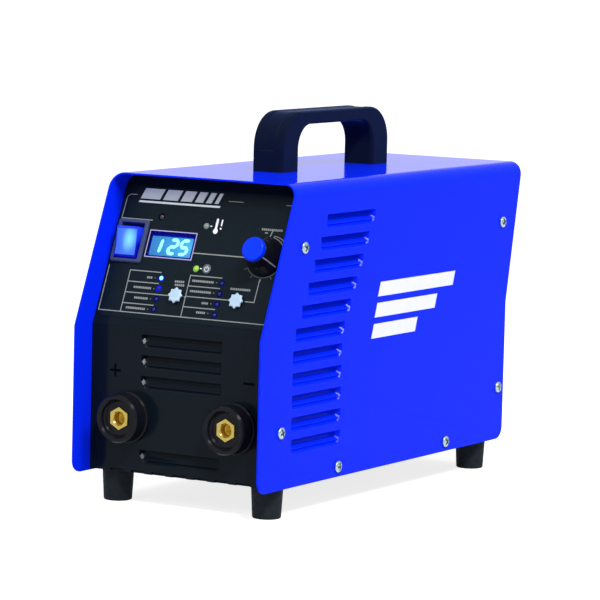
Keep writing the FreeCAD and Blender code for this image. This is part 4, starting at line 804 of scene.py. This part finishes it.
def ribbon(points, width):
    """The outline of a line of a width along points, with mitred corners."""
    spots = [Vector(point) for point in points]
    left, right = [], []
    for index, spot in enumerate(spots):
        ways = []
        if index:
            ways.append((spot - spots[index - 1]).normalized())
        if index < len(spots) - 1:
            ways.append((spots[index + 1] - spot).normalized())
        way = sum(ways, Vector((0, 0))).normalized()
        aside = Vector((-way.y, way.x)) * width / 2 / way.dot(ways[0])
        left.append(spot + aside)
        right.append(spot - aside)
    return right + left[::-1]


def surface_marks(name, outlines, ink, place=LABEL_PLACE):
    """Printed shapes a hair above the surface under them, on the label unless placed elsewhere; the painted
    glow round the status lamps is laid the same way.
    """
    bm = bmesh.new()
    for outline in outlines:
        slab(bm, outline, PRINT_LOW, PRINT_THICK)
    piece(name, bm, ink, place=place)


def lettering(x0, x1, up, high=1.5):
    """A line of small plain blocks."""
    count = max(2, round((x1 - x0) / high))
    pitch = (x1 - x0) / count
    return [rectangle(pitch * 0.74, high, middle=(x0 + pitch * (index + 0.5), up)) for index in range(count)]


def slanted(x0, x1, low, high):
    """A bar with slanted ends."""
    lean = (high - low) * 0.35
    return [(x0, low), (x1, low), (x1 + lean, high), (x0 + lean, high)]


def make_label_lines():
    """The frame lines of the label and of its two tables."""
    half = LINE / 2
    low = 10
    lines = [
        (1, [(-45, 76.7), (-70.7, 76.8), *arc((-66.9, 91), 3.3, 180, 90, 6), (-62.5, 94.3)]),
        (0.8, [(12, 94.3), (24, 94.3)]),
        (0.8, [(58, 94.3), (62.5, 94.3)]),
        (1.15, [(-7 + half, 55.7), (36.6, 55.7)]),
        (1, [(-71.2, 42.6), (-71.2, low), (66, low)]),
        (1, [(51.0, 41.2), (50.7, 24.8), (43.4, 24.8)]),
        (1, [(31.2, 24.8), (-3.7, 24.8)]),
        (1, [(-5.3, 24.3), (-3.9 - half, 24.3)]),
        (1, [(-53.2 + half, 24.2), (-17.4, 24.2)]),
    ]
    for left, top, *rows in ((-53.2, 40, 32, 16.4), (-4, 39.8, 32.3, 17.4)):
        right = left + 25.6
        lines.append((1, [(left, low + half), (left, top), (right, top)]))
        lines += [(1, [(left + half, up), (right, up)]) for up in rows]
    surface_marks("label_lines", [ribbon(points, LINE * share) for share, points in lines], "label_ink")


def make_label_words():
    """Lines of small plain blocks, and a plain title bar."""
    beside_lamps = (
        (-38.5, -33.9, 35.8), (-47.4, -32.9, 28.2), (-44.9, -33.6, 20.7), (-49.6, -33.8, 13.2),
        (-1.8, 15.7, 36.2), (-1.8, 15.4, 28.8), (9.8, 15.1, 21.1), (7.2, 14.6, 14.3),
    )
    others = ((-15.5, -7.6, 34.6), (-14.9, -7.0, 32.2), (29.7, 45.7, 32.9), (43.2, 59.9, 76.4))
    words = [bar for row in beside_lamps + others for bar in lettering(*row)]
    words += [rectangle(0.7, 0.5, middle=(end + 2.2, up)) for start, end, up in beside_lamps]
    surface_marks("label_words", words, "label_ink")
    bars = ((-59.3, -43.3), (-40.8, -28.8), (-26.3, -17.3), (-14.8, -8.3), (-5.8, -1.3), (1.2, 4.2))
    title = [slanted(-60, 6, 89.0, 90.4)] + [slanted(*bar, 91.8, 99.4) for bar in bars]
    surface_marks("label_title", title, "bright_ink")


def make_label_symbols():
    """The thermometer with its exclamation mark, the power symbol, and the scale round the knob."""
    symbols = [
        arc((7.1, 72.4), 1.9, 118, 422, 20) + [(8.0, 80.6)] + arc((7.1, 80.6), 0.9, 0, 180, 8)[1:],
        rectangle(1.1, 4.8, 0.5, (10.9, 78.6), 3),
        circle(0.7, 12, (10.9, 74.4)),
        rectangle(1.4, 0.7, middle=(3.0, 75.7)),
        rectangle(1.4, 0.7, middle=(2.8, 45.2)),
    ]
    surface_marks("label_symbols", symbols, "white_ink")
    across, up = POWER_SYMBOL
    surface_marks("power_symbol", [circle(3.3, 32, POWER_SYMBOL)], "dim_ink")
    stroke = 0.55
    ring = ribbon(arc((across, up - 0.2), 1.7, -240, 60, 16), stroke)
    glyph = [ring, rectangle(0.6, 2.0, middle=(across, up + 1))]
    surface_marks("power_glyph", glyph, "bright_ink", panel_place(0, 0, LABEL_THICK + PRINT_THICK))

    dial = [ribbon(arc(KNOB, 14.7, 215, 412, 60), stroke)]
    for turn in range(215, 420, 28):
        dial.append(ribbon([arc(KNOB, r, turn, turn)[0] for r in (15.3, 17.3)], stroke))
    surface_marks("knob_scale", dial, "dim_ink")
    start, sweep, steps = 40, 38, 20
    crescent = []
    for step in range(steps + 1):
        turn = start + sweep * step / steps
        crescent += arc(KNOB, 16.8 - 1.3 * step / steps, turn, turn, 1)[:1]
    crescent += arc(KNOB, 14.4, start + sweep, start, steps)
    wedge = [
        ribbon(crescent + crescent[:1], 0.5),
        ribbon([(51.1, 71.5), (52.4, 76.5)], 0.9),
        rectangle(2.2, 1.0, middle=(47.6, 74.0)),
    ]
    surface_marks("knob_wedge", wedge, "label_ink")


def make_side_stripes():
    """Plain white bars on both sides of the cover."""
    bars = [slanted(154, 262, 121, 131), slanted(150, 236, 106.5, 116.5), slanted(146, 208, 92, 102)]
    turn = Matrix(((0, 0, 1, HALF), (1, 0, 0, FRONT), (0, 1, 0, BOTTOM), (0, 0, 0, 1)))
    surface_marks("stripes_right", bars, "white_ink", turn)
    surface_marks("stripes_left", bars, "white_ink", Matrix.Diagonal((-1, 1, 1, 1)) @ turn)


def make_screws():
    """Domed zinc screw heads with a cross recess, six on each side."""
    profile = [(0, -7), (2, -7), (2, 0), (3.7, 0), (SCREW_HEAD, 0.35), (4.05, 0.95), (3.85, 1.4),
               (3.45, 1.8), (2.8, 2.12), (1.9, 2.32), (0.9, SCREW_HIGH), (0, SCREW_HIGH)]
    head = carved(lathe(profile, 48), block(cross(2.2, 0.55), 0.3, SCREW_HIGH + 0.3, 1.35))
    rows = [(FACE - FRONT + edge_span(z)[0] + SCREW_INSET, z) for z in SCREW_LEVELS]
    rows += [(y, TRAY_SCREW_UP) for y in TRAY_SCREWS]
    rows += [(REAR_FACE - SCREW_INSET, z) for z in SCREW_LEVELS]
    heads = []
    for sign in (-1, 1):
        for index, (y, z) in enumerate(rows):
            turn = Matrix.Rotation(math.radians(20 + 37 * index), 4, "Z")
            heads.append(moved(head.copy(), facing((sign * HALF, y, z), (sign, 0, 0)) @ turn))
    head.free()
    piece("side_screws", gathered(heads), "zinc_screw", stands_for=["cover_screws"], crease=40)


def cross(reach, bar):
    """The outline of a cross whose arms reach so far and are twice bar wide."""
    quarter = [(bar, bar), (bar, reach), (-bar, reach)]
    corners = []
    for turn in range(4):
        way = Matrix.Rotation(math.pi / 2 * turn, 2)
        corners += [way @ Vector(spot) for spot in quarter]
    return corners


def make_handle():
    """A moulded U with rounded edges and a sunk grip strip along its outer face."""
    base, crest = HANDLE_LOW.z, HANDLE_HIGH.z
    outer, inner = HANDLE_ROUNDS
    half, near = HANDLE_HIGH.x, HANDLE_LOW.y
    stations = []
    for height, sink in ((0, 0), (GRIP_START - 0.5, 0), (GRIP_START, GRIP_SINK)):
        stations.append((Vector((near, base + height)), Vector((near + HANDLE_LEG, base + height)), sink))
    bend = Vector((near + outer, crest - outer))
    inner_bend = Vector((near + HANDLE_LEG + inner, crest - HANDLE_BAR - inner))
    for way in arc((0, 0), 1, 180, 90, 14):
        stations.append((bend + Vector(way) * outer, inner_bend + Vector(way) * inner, GRIP_SINK))
    mirrored = HANDLE_LOW.y + HANDLE_HIGH.y
    for one, two, sink in stations[::-1]:
        stations.append((Vector((mirrored - one.x, one.y)), Vector((mirrored - two.x, two.y)), sink))

    corner = arc((HANDLE_EDGE, HANDLE_EDGE), HANDLE_EDGE, 180, 270, 5)
    left = [(-half + aside, down) for aside, down in corner]
    right = [(half - aside, down) for aside, down in corner]
    strip = GRIP_HALF - 0.7
    bm = bmesh.new()
    rings = []
    for out, back, sink in stations:
        way = (back - out).normalized()
        above = right + [(GRIP_HALF, 0), (strip, sink), (-strip, sink), (-GRIP_HALF, 0)] + left[::-1]
        spots = [(x, out + way * down) for x, down in above]
        spots += [(x, back - way * down) for x, down in left + right[::-1]]
        rings.append([bm.verts.new((x, spot.x, spot.y)) for x, spot in spots])
    joined(bm, rings, capped=True)
    piece("carry_handle", bm, "handle_black", stands_for=["handle"], crease=32)


def make_feet():
    """Tapered rubber feet with a screw well underneath."""
    profile = [(0, 12), (4.6, 12), (4.6, 0, 0.4), (9.8, 0, 1.1), (10.95, BOTTOM), (10.95, 22.5), (0, 22.5)]
    for end, y in FOOT_PLACES.items():
        for side, x in (("left", -FOOT_SPREAD), ("right", FOOT_SPREAD)):
            piece(f"rubber_foot_{end}_{side}", lathe(profile), "foot_rubber",
                  place=Matrix.Translation((x, y, 0)), stands_for=[f"foot_{end}_{side}"])


def make_sockets():
    """Two current sockets: a stepped black body round a hexagonal brass insert."""
    face, back, end = 10, -14, -16
    shell = [(11, back), (11, 0), (18, 0), (18, 3.2, 0.9), (17.1, 3.2, 0.5), (16.7, 13.2, 0.4),
             (15.5, 14.7, 0.3), (13.7, 14.7, 0.2), (12.7, 13.5, 0.2), (12.4, 11.2, 0.3), (11.4, face, 0.3),
             (9.5, face)]
    bore = [(4.95, 11), (4.5, 10.5), (4.5, 1.5), (3.4, 0.6), (3.4, -9), (2.2, -10.2), (0, -13)]
    stud = [(5, end), (5, -31.4), (4.4, -32), (0, -32)]
    sleeve = [(0, 1), (4.48, 1), (4.48, 10.3), (4.4, 10.4), (4.2, 10.2), (4.1, 5), (1.6, 2.6), (0, 2.4)]
    for word, across in (("positive", -SOCKET_ACROSS), ("negative", SOCKET_ACROSS)):
        place = facing((across, FACE, SOCKET_UP), (0, -1, 0))
        bm = bmesh.new()
        rings = turned(bm, shell, 128)
        mouth, foot = [loop_at(bm, circle(8.37, 6, start=90), flat, height) for height in (face, back)]
        fill(bm, rings[-1], mouth)
        bridge(bm, mouth, foot)
        fill(bm, foot, rings[0])
        piece(f"socket_{word}_shell", bm, "black_moulding", place=place, stands_for=[f"socket_{word}_body"])
        bm = bmesh.new()
        hexagons = ((8.3, end), (8.3, 10.6), (7.9, 11))
        walls = stacked(bm, [(circle(radius, 6, start=90), height) for radius, height in hexagons])
        for wall, profile in ((walls[-1], bore), (walls[0], stud)):
            fill(bm, wall, turned(bm, profile, 48)[0])
        piece(f"socket_{word}_brass", bm, "brass", place=place, stands_for=[f"socket_{word}_insert"])
        piece(f"socket_{word}_sleeve", lathe(sleeve, 48), "brass_bore", place=place)


def make_switch():
    """The rocker switch: a bezel round a well, and the lit rocker that tips in it."""
    body, well = rectangle(*SWITCH_BODY, 0.6), rectangle(*SWITCH_WELL, 0.6)
    rim = rectangle(*BEZEL, 1.8)
    top = rectangle(BEZEL[0] - 1.4, BEZEL[1] - 1.4, 1.2)
    lip = rectangle(SWITCH_WELL[0] + 0.6, SWITCH_WELL[1] + 0.6, 0.9)
    layers = [(body, -20), (body, 0.3), (rim, 0.3), (rim, 1.8), (top, 2.5), (lip, 2.5), (well, 2.1)]
    layers.append((well, -13))
    bm = bmesh.new()
    stacked(bm, layers, capped=True)
    piece("switch_bezel", bm, "bezel_grey", place=panel_place(*SWITCH), bevel=0.25,
          stands_for=["power_switch_housing"])
    half, reach, rise, dip = 8.9, 10.8, 10.2, 0.7
    hollow = [(y, rise - dip + dip * (y / reach) ** 2) for y in range(9, -10, -2)]
    profile = [(-8.5, -5), (8.5, -5), (reach, 0), (reach, rise, 0.8)]
    profile += hollow + [(-reach, rise, 0.8), (-reach, 0)]
    pin = [(0, half), (1.25, half), (1.25, 10.1), (0, 10.1)]
    pins = [moved(lathe(pin, 24), Matrix.Rotation(turn, 4, "X")) for turn in (0, math.pi)]
    sideways = Matrix(((0, 0, 1, 0), (1, 0, 0, 0), (0, 1, 0, 0), (0, 0, 0, 1)))
    place = panel_place(*SWITCH, -4) @ Matrix.Rotation(math.radians(SWITCH_TILT), 4, "X") @ sideways
    key = gathered([block(rounded(profile, 8), -half, half)] + pins)
    piece("rocker_key", key, "rocker_blue", body="rocker", place=place, bevel=0.6, segments=3,
          stands_for=["power_switch_rocker"])
    lens = [(y, z + 0.05) for y, z in hollow] + [(y, z - 0.1) for y, z in hollow[::-1]]
    piece("rocker_lens", block(lens, -half + 0.9, half - 0.9), "rocker_face", body="rocker", place=place)


def digit_bars(word, middle):
    """The lit segments of one slanted seven-segment figure."""
    half, high, thick, gap, slant = 2.85, 4.9, 1.1, 0.06, 0.17
    # Where each segment starts and ends, in shares of the figure's half width and half height.
    ends = {
        "a": (-1, 1, 1, 1), "b": (1, 1, 1, 0), "c": (1, 0, 1, -1), "d": (-1, -1, 1, -1),
        "e": (-1, 0, -1, -1), "f": (-1, 1, -1, 0), "g": (-1, 0, 1, 0), "l": (1, 1, 1, -1),
    }
    bars = []
    for letter in word:
        x0, y0, x1, y1 = ends[letter]
        start, end = Vector((x0 * half, y0 * high)), Vector((x1 * half, y1 * high))
        way = (end - start).normalized()
        aside = Vector((-way.y, way.x)) * thick
        start, end = start + way * gap, end - way * gap
        tip = way * thick
        corners = [start, start + tip - aside, end - tip - aside, end]
        corners += [end - tip + aside, start + tip + aside]
        bars.append([(middle + spot.x + spot.y * slant, spot.y) for spot in corners])
    return bars


def make_display():
    """The display: a blue frame round a lit field with raised lit figures, behind a clear window."""
    behind = panel_place(*DISPLAY)
    piece("display_block", block(rectangle(40, 21.2, 0.8), -12.3, -1.9), "display_body", place=behind,
          bevel=0.3, stands_for=["display_module"])
    field = behind @ Matrix.Translation((*DISPLAY_SHIFT, 0))
    piece("display_field", block(rectangle(*DISPLAY_FIELD, 0.5), -2.2, -1.7), "display_field", place=field,
          bevel=0.1, segments=1)
    bm = bmesh.new()
    for word, middle in DIGITS.items():
        for bar in digit_bars(word, middle):
            slab(bm, bar, -1.72, -1.45)
    piece("display_digits", bm, "display_digit", place=field)
    piece("display_pane", block(rectangle(36.8, 18, 0.6), -1.2, -0.4), "display_blue", place=behind,
          bevel=0.2, stands_for=["display_window"])
    outer, inner = rectangle(38.6, 19.8, 0.4, DISPLAY, 2), rectangle(37.2, 18.4, 0.3, DISPLAY, 2)
    bm = bmesh.new()
    loops = stacked(bm, [(outer, PRINT_THICK), (inner, PRINT_THICK), (inner, PRINT_LOW), (outer, PRINT_LOW)])
    bridge(bm, loops[-1], loops[0])
    piece("display_outline", bm, "violet_ink", place=LABEL_PLACE)


def make_knob():
    """The current knob: a black skirt with a pointer line and a blue cap."""
    place = panel_place(*KNOB)
    skirt = [(8.2, 1.2), (13.4, 1.2, 0.3), (13.4, 3.2, 0.8), (10.4, 8.95, 3), (8.8, 15.5, 0.3), (3.05, 15.5),
             (3.05, 4.2), (8.2, 4.2), (8.2, 1.2)]
    piece("knob_base", lathe(skirt), "black_moulding", body="knob", place=place, stands_for=["knob_skirt"])
    cap = [(0, 15.5), (8.45, 15.5), (8.45, 19.1, 1.4), (5.5, 19.05), (0, 18.9)]
    piece("knob_top", lathe(cap), "knob_blue", body="knob", place=place, stands_for=["knob_cap"])
    line = [spot for spot in rounded(skirt, 5) if spot.x > 8.7 and 3 < spot.y < 15.4]
    section = ((0.03, -0.45), (0.12, -0.45), (0.12, 0.45), (0.03, 0.45))
    bm = bmesh.new()
    rows = [[bm.verts.new((r + out, aside, z + out * 0.3)) for out, aside in section] for r, z in line]
    joined(bm, rows, capped=True)
    turn = Matrix.Rotation(math.radians(POINTER_TURN), 4, "Z")
    piece("knob_pointer", bm, "label_ink", body="knob", place=place @ turn)


def make_buttons():
    """Two star-shaped push buttons on stems."""
    star = [(x * radius, y * radius) for (x, y), radius in zip(circle(1, 16), (5.75, 4.44) * 8)]
    shrunk = [(0.86 * x, 0.86 * y) for x, y in star]
    for word, spot in BUTTONS.items():
        bm = bmesh.new()
        loops = stacked(bm, [(star, 1.4), (star, 2.5), (shrunk, 2.95)])
        bridge(bm, loops[-1], [bm.verts.new((0, 0, 3.0))])
        stem = turned(bm, [(BUTTON_STEM, 1.4), (BUTTON_STEM, -3.5), (0, -3.5)], 32)
        fill(bm, loops[0], stem[0])
        piece(f"{word}_star", bm, "button_grey", body=f"{word}_key", place=panel_place(*spot), bevel=0.2,
              stands_for=[f"{word}_button"])


def lamp_form(radius, spot):
    """A lamp on the panel: a short rod with a round tip."""
    tip = arc((0, LAMP_TIP - radius), radius, 0, 81, 9)
    return moved(lathe([(0, -3), (radius, -3)] + tip + [(0, LAMP_TIP)], 32), panel_place(*spot))


def make_lamps():
    """Round lamps that stand a little out of the label."""
    for word, material, slot in (("thermal", "lamp_amber", None), ("supply", "lamp_green", None),
                                 ("dark", "lamp_off", "lamp_dark_blue")):
        piece(f"{word}_lamp", lamp_form(LAMP_RADIUS, LAMPS[word]), material,
              stands_for=[f"lamp_{word}"])
    # Painted glow on the label round the status lamps: bright round the first two, dim round the others.
    painted_glows = [circle(2.3, 24, spot) for spot in STATUS_SPOTS]
    surface_marks("status_painted_glow", painted_glows[:2], "halo_bright")
    surface_marks("status_painted_glow_dim", painted_glows[2:], "halo_dark")
    first, *others = [lamp_form(STATUS_RADIUS, spot) for spot in STATUS_SPOTS]
    piece("status_lit", first, "lamp_cyan", stands_for=["lamp_status_lit"])
    piece("status_row", gathered(others), "lamp_dark_blue", stands_for=["lamps_status"])


def make_gland():
    """The cable gland at the back: a hexagonal body and a dome nut, closed by a rubber web."""
    place = facing(GLAND, (0, 1, 0))
    base, nut = [circle(GLAND_FLATS / math.sqrt(3), 6, start=math.degrees(turn)) for turn in (0.5, 0.2)]
    thread = [(8, 4.5), (8, 12), (6.6, 12), (6.6, -8), (8, -8), (8, 0)]
    outside = [(10.9, 11.4), (10.8, 13), (10.2, 16, 1), (9, 18.7, 1), (6.6, 18.7), (6.6, 12.2), (8.2, 12.2),
               (8.2, 4.7)]
    forms = (("hexagon", base, 0, 4.5, thread, 0.6, "body"), ("dome", nut, 4.7, 11.4, outside, 0.5, "nut"))
    for name, hexagon, low, high, profile, bevel, node in forms:
        bm = bmesh.new()
        loops = stacked(bm, [(hexagon, low), (hexagon, high)])
        rings = turned(bm, profile, 64)
        fill(bm, loops[1], rings[0])
        fill(bm, loops[0], rings[-1])
        piece(f"gland_{name}", bm, "black_moulding", place=place, bevel=bevel, segments=3,
              stands_for=[f"gland_{node}"])
    piece("gland_web", lathe([(0, 4), (6.7, 4), (6.7, 6), (0, 6)], 64), "foot_rubber", place=place)


# The camera, fitted to the photograph's view of the case.
AZIMUTH = math.radians(31.014)
ELEVATION = math.radians(6.225)
ROLL = math.radians(1.434)
AIM = Vector((5.06, -17.5, 133.23))
DISTANCE = 2555.2
SENSOR = 36.0
FRAME_PIXELS = 600
FOCUS_PIXELS = 3600

# The surroundings. A soft lamp has its place, its size and its power in watts.
WORLD_LIGHT = 0.42
FLOOR_REACH = 30000
FLOOR_WHITE = 0.80
SOFT_LAMPS = {
    "high": ((1250, -500, 1600), 600, 21.0),
    "front": ((-300, -1500, 1300), 1000, 8.0),
    "roof": ((100, 400, 1600), 1200, 6.0),
}
SUN_WAY = (0.50, -0.48, 0.72)
SUN_ANGLE = math.radians(3.5)
SUN_POWER = 1.3


def make_camera():
    """A long lens, turned about three axes and aimed at the middle of the case."""
    lens = SENSOR * FOCUS_PIXELS / FRAME_PIXELS
    data = having(bpy.data.cameras.new("view"), sensor_width=SENSOR, sensor_height=SENSOR, lens=lens,
                  clip_end=100)
    turn = Matrix.Rotation(AZIMUTH, 4, "Z") @ Matrix.Rotation(math.pi / 2 - ELEVATION, 4, "X")
    turn @= Matrix.Rotation(ROLL, 4, "Z")
    place = Matrix.Translation(AIM * MM) @ turn @ Matrix.Translation((0, 0, DISTANCE * MM))
    bpy.context.scene.camera = placed("view", data, place)


def seen_directly(tree):
    """1 for what the camera, a mirror or a glass shows, and 0 for light on the object."""
    path = tree.add("LightPath", {})
    total = path["Is Camera Ray"]
    for word in ("Is Glossy Ray", "Is Transmission Ray"):
        total = tree.add("Math", {0: total, 1: path[word]}, operation="MAXIMUM")[0]
    return total


def make_world():
    """Plain light from all round, and white where the surroundings are seen directly."""
    world = bpy.data.worlds.new("studio")
    bpy.context.scene.world = world
    tree = Tree(world)
    light = tree.nodes["Background"]
    tree.feed(light, {"Color": (1, 1, 1, 1), "Strength": WORLD_LIGHT})
    white = tree.add("Background", {"Color": (1, 1, 1, 1), "Strength": 1.0})["Background"]
    mix = tree.add("MixShader", {"Fac": seen_directly(tree), 1: light.outputs["Background"], 2: white})
    tree.feed(tree.nodes["World Output"], {"Surface": mix["Shader"]})


def make_floor():
    """A pale floor that keeps the shadow and is nearly white where it is seen directly."""
    bm = bmesh.new()
    corners = rectangle(2 * FLOOR_REACH, 2 * FLOOR_REACH)
    bm.faces.new(loop_at(bm, corners, flat))
    mesh = mesh_of(bm, "floor")
    mesh.transform(Matrix.Scale(MM, 4))
    paper = bpy.data.materials.new("floor_paper")
    mesh.materials.append(paper)
    tree = Tree(paper)
    diffuse = tree.add("BsdfDiffuse", {"Color": (0.5, 0.5, 0.5, 1)})["BSDF"]
    white = tree.add("Math", {0: seen_directly(tree), 1: FLOOR_WHITE}, operation="MULTIPLY")[0]
    light = tree.add("Emission", {"Strength": white})["Emission"]
    both = tree.add("AddShader", {0: diffuse, 1: light})["Shader"]
    tree.feed(tree.nodes["Material Output"], {"Surface": both})
    placed("floor", mesh)


def make_lights():
    """Three soft square lamps round the object, and a sun that gives the small glints."""
    for name, (spot, size, power) in SOFT_LAMPS.items():
        data = having(bpy.data.lights.new(name, "AREA"), size=size * MM, energy=power)
        toward = (Vector((0, 0, 120)) - Vector(spot)).to_track_quat("-Z", "Y")
        placed(name, data, Matrix.Translation(Vector(spot) * MM) @ toward.to_matrix().to_4x4())
    data = having(bpy.data.lights.new("key", "SUN"), angle=SUN_ANGLE, energy=SUN_POWER)
    placed("key", data, facing((0, 0, 0), SUN_WAY))


make_camera()
make_world()
make_floor()
make_lights()
dress_nodes()
make_cover()
make_front_panel()
make_label()
make_label_lines()
make_label_words()
make_label_symbols()
make_side_stripes()
make_screws()
make_handle()
make_feet()
make_sockets()
make_switch()
make_display()
make_knob()
make_buttons()
make_lamps()
make_gland()

bpy.context.scene.view_settings.view_transform = "Standard"
